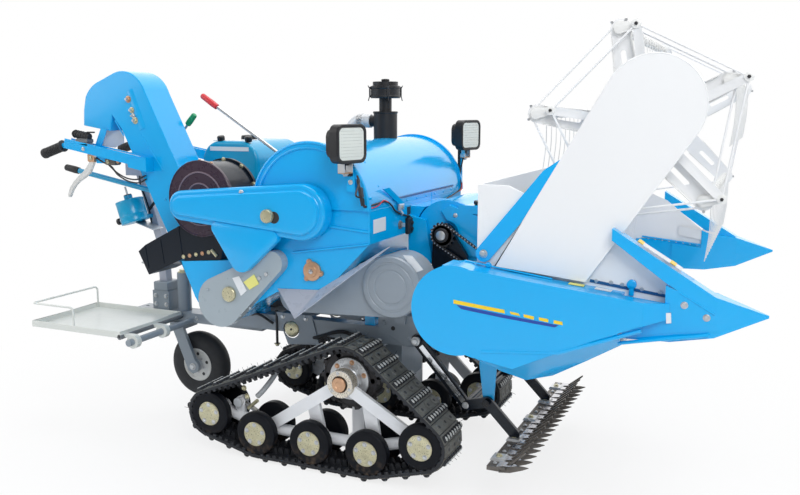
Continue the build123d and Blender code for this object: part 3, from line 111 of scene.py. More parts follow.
def make_world():
    """Even soft light, white behind the machine, and a bright wall on its left that glossy faces mirror."""
    world = bpy.data.worlds.new("studio")
    bpy.context.scene.world = world
    tree = empty_tree(world)
    rays = node(tree, "ShaderNodeLightPath").outputs
    seen = node(tree, "ShaderNodeMath", {0: rays["Is Camera Ray"], 1: rays["Is Transmission Ray"]},
                operation="MAXIMUM")
    light = node(tree, "ShaderNodeBackground", {"Color": (0.93, 0.96, 1, 1), "Strength": 0.5})
    white = node(tree, "ShaderNodeBackground", {"Color": (1, 1, 1, 1), "Strength": 1})
    split = node(tree, "ShaderNodeSeparateXYZ", {0: node(tree, "ShaderNodeTexCoord").outputs["Generated"]})
    wall = node(tree, "ShaderNodeMapRange",
                {"Value": split.outputs["Y"], "From Min": -0.1, "From Max": 0.5, "To Min": 0.35,
                 "To Max": 1.8}, interpolation_type="SMOOTHSTEP")
    mirror = node(tree, "ShaderNodeBackground", {"Strength": wall})
    glossy = node(tree, "ShaderNodeMixShader", {0: rays["Is Glossy Ray"], 1: light, 2: mirror})
    mix = node(tree, "ShaderNodeMixShader", {0: seen, 1: glossy, 2: white})
    node(tree, "ShaderNodeOutputWorld", {0: mix})


def make_lamp(name, place, target, size, watts):
    """One large soft lamp, aimed at a point."""
    data = bpy.data.lights.new(name, "AREA")
    data.shape = "DISK"
    data.size = size
    data.energy = watts
    lamp = add_object(name, data)
    lamp.location = place
    lamp.rotation_euler = (Vector(target) - Vector(place)).to_track_quat("-Z", "Y").to_euler()


def make_floor():
    """A pale floor that keeps the shadow near the machine and fades to white round it."""
    mesh = bpy.data.meshes.new("floor")
    reach = 20
    corners = ((-reach, -reach, 0), (reach, -reach, 0), (reach, reach, 0), (-reach, reach, 0))
    mesh.from_pydata(corners, [], [(0, 1, 2, 3)])
    floor = add_object("floor", mesh)
    material = bpy.data.materials.new("floor_pale")
    tree = empty_tree(material)
    seen = node(tree, "ShaderNodeLightPath").outputs["Is Camera Ray"]
    away = node(tree, "ShaderNodeVectorMath", {0: node(tree, "ShaderNodeTexCoord").outputs["Object"]},
                operation="LENGTH")
    fade = node(tree, "ShaderNodeMapRange",
                {"Value": away.outputs["Value"], "From Min": 0.5, "From Max": 2.4, "To Min": 0.8},
                interpolation_type="SMOOTHSTEP")
    both = node(tree, "ShaderNodeMath", {0: fade, 1: seen}, operation="MULTIPLY")
    matt = node(tree, "ShaderNodeBsdfDiffuse", {"Color": (0.86, 0.87, 0.88, 1)})
    white = node(tree, "ShaderNodeEmission", {"Strength": 1})
    mix = node(tree, "ShaderNodeMixShader", {0: both, 1: matt, 2: white})
    node(tree, "ShaderNodeOutputMaterial", {0: mix})
    mesh.materials.append(material)


# Materials

EARTH = (0.16, 0.11, 0.07, 1)
# Each finish's material
MATERIALS = {}


def surface(name, colour, rough, metal=0.0, coat=0.0, tone=0.06, tone_scale=6.0, bump=0.0,
            bump_scale=400.0, rough_spread=0.08, soil_top=0.0, shine=0.5):
    """A finish whose colour and roughness drift a little, with a fine bump, and earth up to soil_top."""
    material = bpy.data.materials.new(name)
    material.use_nodes = True
    tree = material.node_tree
    place = node(tree, "ShaderNodeTexCoord").outputs["Object"]

    def noise(scale, detail):
        return node(tree, "ShaderNodeTexNoise", {"Vector": place, "Scale": scale, "Detail": detail})

    shade = node(tree, "ShaderNodeMix",
                 {"Factor": noise(tone_scale, 5), "A": (*[max(0, c * (1 - tone)) for c in colour], 1),
                  "B": (*[min(1, c * (1 + tone)) for c in colour], 1)}, data_type="RGBA")
    fine = noise(tone_scale * 7, 6)
    gloss = node(tree, "ShaderNodeMapRange",
                 {"Value": fine, "From Min": 0.3, "From Max": 0.7,
                  "To Min": max(0.02, rough - rough_spread), "To Max": min(1, rough + rough_spread)})
    if soil_top:
        split = node(tree, "ShaderNodeSeparateXYZ", {0: place})
        low = node(tree, "ShaderNodeMapRange",
                   {"Value": split.outputs["Z"], "From Min": soil_top, "From Max": 0, "To Max": 0.75})
        patch = node(tree, "ShaderNodeMapRange", {"Value": fine, "From Min": 0.45, "From Max": 0.65})
        amount = node(tree, "ShaderNodeMath", {0: low, 1: patch}, operation="MULTIPLY")
        shade = node(tree, "ShaderNodeMix", {"Factor": amount, "A": shade.outputs["Result"], "B": EARTH},
                     data_type="RGBA")
    shader = tree.nodes["Principled BSDF"]
    feed(tree, shader, {"Base Color": shade.outputs["Result"], "Roughness": gloss, "Metallic": metal,
                        "Specular IOR Level": shine, "Coat Weight": coat, "Coat Roughness": 0.08})
    if bump:
        grain = noise(bump_scale, 3)
        feed(tree, shader, {"Normal": node(tree, "ShaderNodeBump",
                                           {"Height": grain, "Strength": bump, "Distance": 0.001})})
    MATERIALS[name] = material


def make_materials():
    """Every finish of the machine."""
    surface("blue", (0.0, 0.40, 0.83), 0.2, coat=0.3, tone=0.03, tone_scale=3, bump=0.02,
            bump_scale=260, rough_spread=0.03)
    surface("teal", (0.0, 0.33, 0.57), 0.3, coat=0.2, tone=0.02, tone_scale=3,
            rough_spread=0.02)
    surface("white", (0.83, 0.835, 0.84), 0.35, tone=0.004, tone_scale=2, bump=0.01,
            bump_scale=260, rough_spread=0.02)
    surface("frame_white", (0.80, 0.81, 0.83), 0.35, coat=0.2, bump=0.06, soil_top=0.12)
    surface("grey", (0.26, 0.30, 0.34), 0.36, coat=0.2, bump=0.05)
    surface("lilac", (0.36, 0.39, 0.46), 0.3, coat=0.3, bump=0.04)
    surface("maroon", (0.032, 0.012, 0.028), 0.3, coat=0.4, tone=0.02, bump=0.02)
    surface("black", (0.003, 0.007, 0.014), 0.24, tone=0.1, rough_spread=0.02, shine=0.4)
    surface("plastic", (0.012, 0.012, 0.014), 0.42, tone=0.15, bump=0.15, bump_scale=900)
    surface("pale_grey", (0.34, 0.40, 0.44), 0.34, coat=0.2, tone=0.05, bump=0.04)
    surface("rail_grey", (0.16, 0.17, 0.18), 0.35, coat=0.2, tone=0.1, bump=0.05)
    surface("rubber", (0.004, 0.005, 0.008), 0.5, tone=0.25, bump=0.2, bump_scale=500,
            soil_top=0.1, shine=0.2)
    surface("track", (0.016, 0.018, 0.023), 0.55, tone=0.3, tone_scale=18, bump=0.5,
            bump_scale=160)
    surface("tread", (0.115, 0.118, 0.108), 0.55, tone=0.5, tone_scale=24, bump=0.8,
            bump_scale=120, soil_top=0.25)
    # Painted highlight: a lighter grey on the stud tops stands in for their glint.
    surface("glint", (0.42, 0.43, 0.42), 0.3, tone=0.4, tone_scale=24, bump=0.4,
            bump_scale=120)
    surface("rim_pale", (0.56, 0.57, 0.58), 0.3, metal=0.5, tone=0.08, bump=0.05)
    surface("rim_light", (0.66, 0.66, 0.64), 0.4, tone=0.08, bump=0.08)
    surface("zinc_pale", (0.66, 0.60, 0.50), 0.3, metal=0.7, tone=0.25, tone_scale=30,
            bump=0.08)
    # Flat black: a black label on the front panel, and painted shade on holes and slots, whose dark discs
    # and strips stand for the shade inside them.
    surface("black_and_hole_shade", (0.03, 0.03, 0.032), 0.4, tone=0.1)
    # Painted shade: a darker copy of the lens colour along the ribs of the glass.
    surface("lens_rib_shade", (0.46, 0.50, 0.46), 0.2, tone=0.03)
    surface("grey_box", (0.16, 0.17, 0.18), 0.35, metal=0.3, tone=0.1)
    surface("reel_white", (0.80, 0.80, 0.785), 0.35, coat=0.2, tone=0.01, bump=0.02)
    surface("yellow_pale", (0.78, 0.74, 0.22), 0.4, tone=0.05)
    # Painted shade: a darker copy of the blue for the shade along a fold.
    surface("fold_shade", (0.006, 0.09, 0.25), 0.4, tone=0.05)
    # Painted highlight: a paler maroon that stands in for the light on the pressed rings.
    surface("maroon_highlight", (0.20, 0.15, 0.18), 0.3, tone=0.1)
    surface("grip", (0.015, 0.015, 0.017), 0.55, tone=0.2, bump=0.5, bump_scale=700)
    surface("iron", (0.045, 0.043, 0.045), 0.55, metal=0.6, tone=0.3, tone_scale=20,
            bump=0.4, bump_scale=120)
    surface("steel", (0.52, 0.52, 0.54), 0.3, metal=1, tone=0.12, tone_scale=14, bump=0.08)
    surface("chrome", (0.70, 0.71, 0.73), 0.1, metal=1, tone=0.03, rough_spread=0.04)
    surface("zinc", (0.58, 0.54, 0.36), 0.32, metal=0.7, tone=0.35, tone_scale=30, bump=0.1,
            bump_scale=300)
    surface("copper", (0.60, 0.36, 0.22), 0.38, metal=0.7, tone=0.25, tone_scale=25,
            bump=0.2, bump_scale=200)
    surface("rim", (0.48, 0.50, 0.52), 0.4, coat=0.2, bump=0.08, soil_top=0.15)
    surface("tray", (0.70, 0.72, 0.68), 0.36, coat=0.1, tone=0.04, bump=0.04)
    surface("column", (0.45, 0.47, 0.54), 0.34, coat=0.2, tone=0.05, bump=0.04)
    surface("cutter", (0.16, 0.145, 0.13), 0.5, metal=0.7, tone=0.5, tone_scale=30, bump=0.4,
            bump_scale=150)
    surface("lens", (0.72, 0.76, 0.71), 0.12, coat=0.6, tone=0.05)
    surface("hose", (0.66, 0.68, 0.70), 0.4, metal=0.3, tone=0.03, rough_spread=0.02)
    surface("yellow", (0.86, 0.60, 0.02), 0.35, tone=0.04)
    surface("navy", (0.010, 0.060, 0.36), 0.35, tone=0.05)
    surface("label", (0.74, 0.76, 0.78), 0.35, tone=0.02)
    surface("red", (0.58, 0.035, 0.045), 0.4, tone=0.06)
    surface("green", (0.01, 0.30, 0.12), 0.4, tone=0.06)
    surface("wire", (0.02, 0.02, 0.022), 0.5, tone=0.1)
    surface("silver", (0.60, 0.61, 0.62), 0.35, metal=0.8, tone=0.1, bump=0.05)
    surface("tyre", (0.020, 0.021, 0.024), 0.6, tone=0.2, bump=0.3, bump_scale=500,
            soil_top=0.12)
    surface("engine", (0.10, 0.11, 0.12), 0.5, metal=0.4, tone=0.3, bump=0.2)


# The nodes that wear each finish; the others are white
WEARERS = {
    "track": "track_right track_left", "rubber": "rollers_right rollers_left tail_tyre",
    "iron": "sprocket_right sprocket_left feeder_drive",
    "frame_white": "track_frame_right track_frame_left",
    "grey": "transmission main_frame main_belt_guard tail_fork side_plates tail_beam", "engine": "engine",
    "blue": "thresher_body thresher_hood upper_belt_guard grain_elevator handlebar drive_cover "
            "feeder_house dividers auger reel_arms lift_struts feeder_guard",
    "pale_grey": "lower_belt_guard", "lilac": "side_chute", "maroon": "blower_cover",
    "black": "blower_housing lift_arms lift_posts", "plastic": "air_cleaner lamps lever_knobs",
    "column": "handle_column", "grip": "hand_grips", "rim": "tail_rim", "tray": "tray",
    "steel": "header_knife", "cutter": "lower_cutter", "teal": "fuel_tank oil_can",
    "copper": "shaft_bearing", "hose": "intake_hose", "lens": "lamp_lenses", "chrome": "control_levers",
}
# How far nodes' outer edges are rounded; the others get EDGE
ROUNDED = {
    0: "tail_tyre upper_belt_guard main_belt_guard fuel_tank side_chute intake_hose", 0.5: "lamp_lenses",
    0.8: "tray header_tub feeder_drive", 2: "blower_housing", 2.5: "thresher_hood",
    3: "thresher_body air_cleaner tail_beam handlebar track_frame_right track_frame_left blower_cover "
       "lift_posts",
    4: "dividers lamps main_frame handle_column lift_arms",
    5: "grain_elevator hand_grips lower_belt_guard lever_knobs", 6: "engine", 7: "drive_cover",
}
EDGE = 1.5
SHARP = math.radians(32)


def make_joining():
    """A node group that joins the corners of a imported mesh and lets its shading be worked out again."""
    group = bpy.data.node_groups.new("joining", "GeometryNodeTree")
    for way in ("INPUT", "OUTPUT"):
        group.interface.new_socket("Geometry", in_out=way, socket_type="NodeSocketGeometry")
    join = node(group, "GeometryNodeMergeByDistance",
                {"Geometry": node(group, "NodeGroupInput"), "Distance": 0.00002})
    plain = node(group, "GeometryNodeRemoveAttribute", {"Geometry": join, "Name": "custom_normal"})
    smooth = node(group, "GeometryNodeSetShadeSmooth", {"Geometry": plain})
    bend = node(group, "GeometryNodeInputMeshEdgeAngle").outputs["Unsigned Angle"]
    sharp = node(group, "FunctionNodeCompare", {"A": bend, "B": SHARP})
    crease = node(group, "GeometryNodeSetShadeSmooth",
                  {"Geometry": smooth, "Selection": sharp, "Shade Smooth": False}, domain="EDGE")
    node(group, "NodeGroupOutput", {0: crease})
    return group


def finish_nodes(frame):
    """Give each CAD node its finish, and round its outer edges a little."""
    joining = make_joining()
    finishes = {name: finish for finish, names in WEARERS.items() for name in names.split()}
    widths = {name: width for width, names in ROUNDED.items() for name in names.split()}
    for name, solid in frame["nodes"].items():
        for holder in solid.material_slots:
            holder.material = MATERIALS[finishes.get(name, "white")]
        width = widths.get(name, EDGE)
        if width:
            solid.modifiers.new("joined", "NODES").node_group = joining
            bevel = solid.modifiers.new("edges", "BEVEL")
            bevel.width = width / 1000
            bevel.segments = 2
            bevel.limit_method = "ANGLE"
            bevel.angle_limit = SHARP
            bevel.harden_normals = True


# Places, outlines and lines


def place(origin, normal, up=UP):
    """A flat place: its z runs along normal, its y as near as it can to up, and its x across."""
    out = Vector(normal).normalized()
    across = Vector(up).cross(out)
    if across.length < 1e-6:
        across = FORWARD.copy()
    across.normalize()
    spot = Matrix((across, out.cross(across), out)).transposed().to_4x4()
    spot.translation = Vector(origin)
    return spot


def on_right(x, y, z):
    """A place that faces the machine's right: its x is forward and its y is up."""
    return place((x, y, z), RIGHT)


def on_top(x, y, z):
    """A place that faces up: its x is the machine's right and its y is forward."""
    return place((x, y, z), UP, FORWARD)


def shifted(spot, x, y, z):
    """The place moved within itself."""
    return spot @ Matrix.Translation((x, y, z))


def polar(angle, radius=1.0, x=0.0, y=0.0):
    """The point at an angle in degrees and a radius from x, y."""
    turn = math.radians(angle)
    return x + radius * math.cos(turn), y + radius * math.sin(turn)


def ring(radius, steps, start=0.0):
    """Points round a circle, the first one start degrees round it."""
    return [polar(start + 360 * i / steps, radius) for i in range(steps)]


def around(spot, radius, count, start=0.0, height=0.0):
    """Points on a circle round a place, at a height over it."""
    return [spot @ Vector((x, y, height)) for x, y in ring(radius, count, start)]


def wrap(circles, offset=0.0, step=12):
    """Points on the line that wraps these circles, x, z and radius, pushed out by offset."""
    def outermost(angle):
        return max(circles, key=lambda c: c[0] * math.cos(angle) + c[1] * math.sin(angle) + c[2])

    def touch(circle, angle):
        reach = circle[2] + offset
        return circle[0] + reach * math.cos(angle), circle[1] + reach * math.sin(angle)

    points = []
    last = None
    for turn in range(0, 360, step):
        angle = math.radians(turn)
        best = outermost(angle)
        if last and best is not last:
            low, high = math.radians(turn - step), angle
            for tries in range(12):
                edge = (low + high) / 2
                if outermost(edge) is last:
                    low = edge
                else:
                    high = edge
            points += [touch(last, edge), touch(best, edge)]
        points.append(touch(best, angle))
        last = best
    return points


def inset(outline, amount):
    """The outline moved in by amount; its points run anticlockwise."""
    moved = []
    for i, point in enumerate(outline):
        here = Vector(point)
        before = here - Vector(outline[i - 1])
        after = Vector(outline[(i + 1) % len(outline)]) - here
        both = Vector((-before.y, before.x)).normalized() + Vector((-after.y, after.x)).normalized()
        moved.append(tuple(here + both * 2 * amount / max(both.length_squared, 0.4)))
    return moved


def rounded(width, height, corner, steps=5):
    """A rectangle round the origin with rounded corners."""
    wide, high = width / 2 - corner, height / 2 - corner
    middles = ((wide, high), (-wide, high), (-wide, -high), (wide, -high))
    return [polar(90 * (quarter + i / steps), corner, *middle)
            for quarter, middle in enumerate(middles) for i in range(steps + 1)]


def oblong(width, depth):
    """A rectangle round the origin."""
    return [(x * width / 2, y * depth / 2) for x, y in ((-1, -1), (1, -1), (1, 1), (-1, 1))]


def at_y(y, points):
    """Points given by x and z, at this y."""
    return [(x, y, z) for x, z in points]


def curve_through(points, steps=5):
    """Points on a smooth line through these."""
    line = [Vector(p) for p in points]
    padded = [2 * line[0] - line[1]] + line + [2 * line[-1] - line[-2]]
    smooth = []
    for a, b, c, d in zip(padded, padded[1:], padded[2:], padded[3:]):
        for i in range(steps):
            t = i / steps
            smooth.append(0.5 * (2 * b + (c - a) * t + (2 * a - 5 * b + 4 * c - d) * t * t
                                 + (3 * b - a - 3 * c + d) * t ** 3))
    return smooth + [line[-1]]


def path_walk(outline):
    """A closed line's length, and a function from a share of it to the point and the direction there."""
    line = [Vector(p) for p in outline] + [Vector(outline[0])]
    lengths = [0.0]
    for a, b in zip(line, line[1:]):
        lengths.append(lengths[-1] + (b - a).length)

    def walk(share):
        goal = share % 1 * lengths[-1]
        for i in range(len(line) - 1):
            if lengths[i + 1] >= goal and lengths[i + 1] > lengths[i]:
                part = (goal - lengths[i]) / (lengths[i + 1] - lengths[i])
                return line[i].lerp(line[i + 1], part), (line[i + 1] - line[i]).normalized()
        return line[0], (line[1] - line[0]).normalized()

    return lengths[-1], walk


class Form:
    """A piece in the making; each face keeps the finish that it was made in."""

    def __init__(self):
        self.points = []
        self.faces = []
        self.kinds = []

    def add(self, points, faces, kinds, spot=None):
        """Add corners, and the faces between them with their finishes, moved to spot."""
        start = len(self.points)
        self.points += [spot @ Vector(p) if spot else Vector(p) for p in points]
        self.faces += [[start + i for i in face] for face in faces]
        self.kinds += kinds

    def stamp(self, other, spots):
        """Copies of another form at these places."""
        for spot in spots:
            self.add(other.points, other.faces, other.kinds, spot)

    def loft(self, rings, finish, spot=None, closed=False):
        """Join each ring of points to the next one; close the line of rings, or else cap its ends."""
        count = len(rings[0])
        faces = []
        for level in range(len(rings) if closed else len(rings) - 1):
            low, high = level * count, (level + 1) % len(rings) * count
            for i in range(count):
                j = (i + 1) % count
                faces.append((low + i, low + j, high + j, high + i))
        if not closed:
            faces.append(range(count)[::-1])
            faces.append(range((len(rings) - 1) * count, len(rings) * count))
        self.add([point for line in rings for point in line], faces, [finish] * len(faces), spot)

    def layers(self, outlines, finish, spot=None, closed=False):
        """A solid whose outline changes with height: pairs of outline and height."""
        rings = [[(x, y, height) for x, y in outline] for outline, height in outlines]
        self.loft(rings, finish, spot, closed)

    def slab(self, points, shift, finish):
        """A plate between these corners and the same ones shifted."""
        self.loft([points, [Vector(p) + Vector(shift) for p in points]], finish)

    def side_plates(self, y, thick, *plates):
        """Thin plates on a face to the right, each with its finish and its corners in x and z."""
        for finish, *corners in plates:
            self.slab(at_y(y, corners), RIGHT * thick, finish)

    def fold(self, normal, width, height, finish, *points):
        """A low pressed fold along points on a face."""
        out = Vector(normal)
        for a, b in zip(points, points[1:]):
            start, end = Vector(a), Vector(b)
            side = (end - start).normalized().cross(out).normalized() * width / 2
            section = (-side - out, out * height - side * 0.5, out * height + side * 0.5, side - out)
            self.loft([[spot + push for push in section] for spot in (start, end)], finish)

    def turned(self, profile, finish, spot, steps=28, hollow=False):
        """A turned shape: pairs of radius and height along the place's z, open in its middle if hollow."""
        rings = [(ring(max(radius, 0.05), steps), height) for radius, height in profile]
        self.layers(rings, finish, spot, hollow)

    def box(self, size, finish, spot, edge):
        """A box that stands on the place, with softened edges."""
        width, depth, height = size
        outline = oblong(width, depth)
        soft = min(edge, width / 4, depth / 4, height / 4)
        tight = inset(outline, soft)
        self.layers([(tight, 0), (outline, soft), (outline, height - soft), (tight, height)], finish, spot)

    def tube(self, points, radius, finish, steps=8, closed=False):
        """A round bar along these points."""
        line = [Vector(p) for p in points]
        count = len(line)
        side = None
        rings = []
        for i, here in enumerate(line):
            before = line[i - 1] if i or closed else here
            after = line[(i + 1) % count] if i < count - 1 or closed else here
            way = (after - before).normalized()
            if side is None:
                side = way.cross(UP if abs(way.z) < 0.9 else LEFT).normalized()
            side = (side - way * side.dot(way)).normalized()
            lift = way.cross(side)
            rings.append([here + side * x + lift * y for x, y in ring(radius, steps)])
        self.loft(rings, finish, closed=closed)

    def cord(self, radius, finish, *points, steps=8, smooth=5):
        """A round bar along a smooth line through these points."""
        self.tube(curve_through(points, smooth), radius, finish, steps)

    def rod(self, start, end, radius, finish, steps=10):
        """A straight round bar."""
        self.tube([start, end], radius, finish, steps)

    def bolts(self, normal, size, finish, *points, washer=True):
        """Hexagon heads at these points, on washers."""
        for point in points:
            spot = place(point, normal)
            if washer:
                self.turned([(size * 1.35, -0.5), (size * 1.35, 1.0), (size * 1.2, 1.6)], finish, spot, 16)
            self.turned([(size, 0), (size, size * 0.62), (size * 0.82, size * 0.82)], finish, spot, 6)

    def domes(self, normal, size, finish, *points):
        """Round heads at these points."""
        for point in points:
            self.turned([(size, -0.5), (size, size * 0.15), (size * 0.85, size * 0.42),
                         (size * 0.5, size * 0.62), (0, size * 0.7)], finish, place(point, normal), 14)

    def done(self, name, body="chassis", replaces=()):
        """Make the object, let it ride its body and stand for the nodes it replaces."""
        mesh = bpy.data.meshes.new(name)
        mesh.from_pydata([(p - MIDDLE) / 1000 for p in self.points], [], self.faces)
        finishes = list(dict.fromkeys(self.kinds))
        for finish in finishes:
            mesh.materials.append(MATERIALS[finish])
        mesh.polygons.foreach_set("material_index", [finishes.index(kind) for kind in self.kinds])
        work = bmesh.new()
        work.from_mesh(mesh)
        bmesh.ops.recalc_face_normals(work, faces=work.faces)
        work.to_mesh(mesh)
        work.free()
        mesh.shade_smooth()
        mesh.set_sharp_from_angle(angle=math.radians(35))
        piece = add_object(name, mesh)
        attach(piece, body)
        if replaces:
            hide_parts(*replaces)


# Tracks

HALF_GAUGE = 302.5
TRACK_HALF = 82.5
# The belt's thickness, and about how far apart its shoes are
BELT = 10
SHOE_PITCH = 80
# Shoes below this height carry no hairs, which would poke into the ground
HAIR_FLOOR = 110
ROLLERS = [(-424, 153), (-224, 105), (0, 105), (223, 105), (425, 160)]
SPROCKET = (142, 350)
WRAP = [(x, z, 80) for x, z in ROLLERS] + [(*SPROCKET, 115)]


def track_parts():
    """One shoe with its studs, their tops painted lighter as a highlight, the low pad beside it, its four
    guide teeth, and the moulding hairs.
    """
    shoe, pad, tooth, hairs = Form(), Form(), Form(), Form()
    shoe.box((34, 162, 4), "tread", Matrix.Translation((0, 0, -1.5)), 1.5)
    stud = [(rounded(24, 13, 4, 2), 0), (rounded(23, 12, 4, 2), 6), (rounded(17, 9.5, 4, 2), 11.5),
            (rounded(10, 6.5, 2.6, 2), 14)]
    for i in range(8):
        spot = Matrix.Translation((0, (i - 3.5) * 20.4, 1))
        shoe.layers(stud[:3], "track", spot)
        # The stud tops wear the glint finish, a painted highlight.
        shoe.layers(stud[2:], "glint", spot)
    pad.layers([(oblong(40, 162), -1), (oblong(36, 160), 2)], "tread")
    for y in (-52, 0, 52):
        spot = Matrix.Translation((0, y, 0))
        pad.layers([([(-17, -10), (0, -21), (17, -10), (17, 10), (0, 21), (-17, 10)], 1.5),
                    ([(-14, -8), (0, -17), (14, -8), (14, 8), (0, 17), (-14, 8)], 5)], "tread", spot)
        pad.layers([(rounded(13, 13, 5, 2), 4), (rounded(11, 11, 4, 2), 5.6)], "track", spot)
    for y, foot, top in ((31, (24, 12, 3, 1), (13, 8, 2, 1, 22)), (73, (17, 13, 2, 1), (11, 10, 2, 1, 9))):
        for side in (-y, y):
            tooth.layers([(rounded(*foot), 0), (rounded(*top[:4]), top[4])], "track",
                         Matrix.Translation((0, side, 0)))
    for i in range(5):
        y = (i * 37 + 11) % 160 - 80
        hairs.rod((8 - i * 4, y, 0), (12 - i * 6, y + 3 - i, 22 + i % 3 * 3), 0.7, "track", 4)
    return shoe, pad, tooth, hairs


def make_tracks():
    """Moulded rubber tracks: a belt with rows of studs, low pads between, and guide teeth inside."""
    length, walk = path_walk(wrap(WRAP, BELT, 6))
    shoes = round(length / SHOE_PITCH)
    shoe, pad, tooth, hairs = track_parts()
    edge = TRACK_HALF - 1.5
    section = ((-TRACK_HALF, 9.5), (-TRACK_HALF, 1.5), (-edge, 0), (edge, 0), (TRACK_HALF, 1.5),
               (TRACK_HALF, 9.5), (edge, BELT), (-edge, BELT))
    for name, way in SIDES:
        middle = way * HALF_GAUGE

        def spot_at(share, side=1, depth=0.0):
            """The place on the belt's outside, or on its inside, that far round it."""
            point, along = walk(share / shoes)
            out = side * Vector((along.y, 0, -along.x))
            return place(Vector((point.x, middle, point.y)) + out * depth, out, LEFT)

        form = Form()
        form.loft([at_y(middle + y, wrap(WRAP, reach, 6)) for y, reach in section], "track", closed=True)
        spots = [spot_at(i + 0.5) for i in range(shoes)]
        form.stamp(shoe, spots)
        form.stamp(pad, [spot_at(i + 1) for i in range(shoes)])
        form.stamp(tooth, [spot_at(i + share, -1, 9.6) for i in range(shoes) for share in (0, 0.33, 0.67)])
        form.stamp(hairs, [spot @ Matrix.Scale(way * (1 if i % 2 else -1), 4, (0, 1, 0))
                           for i, spot in enumerate(spots) if spot.translation.z > HAIR_FLOOR])
        form.done(f"track_{name}_moulded", replaces=[f"track_{name}"])


def make_rollers():
    """Road rollers: two rubber-tyred discs on an axle, and a plated cap with five bolts."""
    for name, way in SIDES:
        form = Form()
        middle = way * HALF_GAUGE
        half = [(50, 1), (68, 0), (75, 1.2), (79, 5), (79.6, 9)]
        tyre = half + [(radius, 38 - y) for radius, y in half[::-1]]
        for x, z in ROLLERS:
            for near in (-81.5, 43.5):
                form.turned(tyre, "rubber", place((x, middle + near, z), LEFT), 44)
            form.rod((x, middle - way * 80, z), (x, middle + way * 82, z), 12, "iron")
            for facing in (way, -way):
                out = LEFT * facing
                cap = place((x, middle + facing * 80.5, z), out)
                form.turned([(45, -0.5), (45, 1.8), (43.5, 3), (40, 3.4), (24, 2.6), (14, 2.6), (12, 3.6),
                             (0, 3.8)], "zinc", cap, 36)
                form.bolts(out, 6.4, "silver", *around(cap, 35, 5, 18, 2.4))
        form.done(f"rollers_{name}_tyred", replaces=[f"rollers_{name}"])


def make_hubs():
    """Bolts on the drive hubs, the nut outside each boss, and the plated screw gear of the rear rollers."""
    x, z = SPROCKET
    for name, way in SIDES:
        middle = way * HALF_GAUGE
        out = LEFT * way
        form = Form()
        flange = place((x, middle + way * 38, z), out)
        form.turned([(74.5, -8.2), (74.5, 0.4), (72.5, 1.4), (50.4, 1.4), (50.4, 26), (49, 27.2),
                     (20, 27.2)], "rim_pale", flange, 44)
        form.bolts(out, 7, "copper", *around(flange, 61, 6, 18, 1.2))
        boss = place((x, middle + way * 107.5, z), out)
        form.turned([(48.4, -37.6), (48.4, -1.4), (47, 0.6), (30, 0.8), (29, 0)], "zinc_pale", boss, 40)
        form.turned([(25, 0), (25, 9), (23, 10.4), (13, 10.4), (11, 8.5), (0, 8.5)], "copper", boss, 30)
        form.bolts(out, 4.6, "silver", *around(boss, 39, 3, 100, 0.4))
        form.done(f"hub_bolts_{name}")
        feet = Form()

        def beside(x, push, z):
            """A point that far outside the track's middle."""
            return x, middle + way * push, z

        feet.bolts(out, 8, "zinc", beside(-312, 12, 247), beside(-300, 12, 216))
        feet.rod(beside(-332, -30, 192), beside(-332, 30, 192), 8.5, "rim", 20)
        feet.turned([(18, 24), (18, 29), (16, 31), (9, 31)], "rim", place(beside(-332, 0, 192), out), 28)
        feet.rod(beside(-318, 0, 186), beside(-262, 0, 158), 9, "steel")
        feet.rod(beside(-300, 6, 168), beside(-258, 6, 204), 7, "zinc")
        feet.cord(10, "rim", beside(-268, -8, 214), beside(-244, -14, 240), beside(-222, -40, 278),
                  beside(-208, -70, 318), steps=12, smooth=6)
        feet.done(f"track_screw_{name}")


def make_sprocket_faces():
    """Pressed rings on both faces of the drive sprockets."""
    for name, way in SIDES:
        form = Form()
        for side in (way, -way):
            face = place((SPROCKET[0], way * HALF_GAUGE + side * 30, SPROCKET[1]), LEFT * side)
            form.turned([(101, -1), (101, 1.6), (98.5, 3), (96, 1.6), (96, -1)], "iron", face, 44)
            form.turned([(80, -1), (80, 1.6), (78, 2.6), (76, 1.6), (76, -1)], "iron", face, 44)
        form.done(f"sprocket_rings_{name}")


# Belt guards


def make_upper_guard():
    """The long blue belt guard: pressed rim, flat middle, rounded lobe below, and its plated cap."""
    form = Form()
    for steps, *circles in (
            ([(0, -412), (0, -452), (-1.5, -458), (-5, -461.5), (-9, -462.5), (-17, -462.5), (-19, -464),
              (-21, -471), (-23, -473.5), (-27, -474.5), (-36, -475)], (-453, 938, 53), (28, 937, 94)),
            ([(0, -440), (0, -462), (-2, -466.5), (-6, -468.5)],
             (-300, 868, 24), (-206, 762, 43), (-80, 850, 24))):
        form.loft([at_y(y, wrap(circles, push)) for push, y in steps], "blue")
    cap = on_right(-85, -473, 922)
    form.turned([(23, 0), (23, 14), (21, 17), (8, 18), (0, 18)], "zinc", cap, 30)
    form.domes(RIGHT, 2.4, "zinc", *around(cap, 14, 3, 12, 17.5))
    form.turned([(20, 0), (20, 1)], "black_and_hole_shade", on_right(-62, -475, 918), 24)
    form.bolts((0, -0.5, 1), 7, "silver", (-196, -462, 998))
    form.bolts((0, -0.5, 1), 6, "zinc", (-128, -450, 1008))
    form.done("upper_belt_guard_pressed", replaces=["upper_belt_guard"])


def make_lower_guard():
    """The flat grey guard's cap, blank plates and edge bolts."""
    form = Form()
    form.turned([(27, -1), (27, 6), (25, 8.5), (9, 9.5), (0, 9.5)], "zinc", on_right(-275, -440.2, 633), 32)
    form.side_plates(-439.6, 1.2, ("label", (-260, 692), (-231, 701), (-201, 652), (-226, 631)),
                     ("yellow_pale", (-214, 681), (-170, 712), (-150, 680), (-190, 656)))
    for x, z in ((-148, 700), (-120, 716)):
        form.rod((x, -436, z), (x, -444, z), 7, "silver")
    form.domes(RIGHT, 5, "pale_grey", (-232, -440, 560), (-366, -440, 640), (-190, -440, 590))
    form.done("lower_guard_fittings")


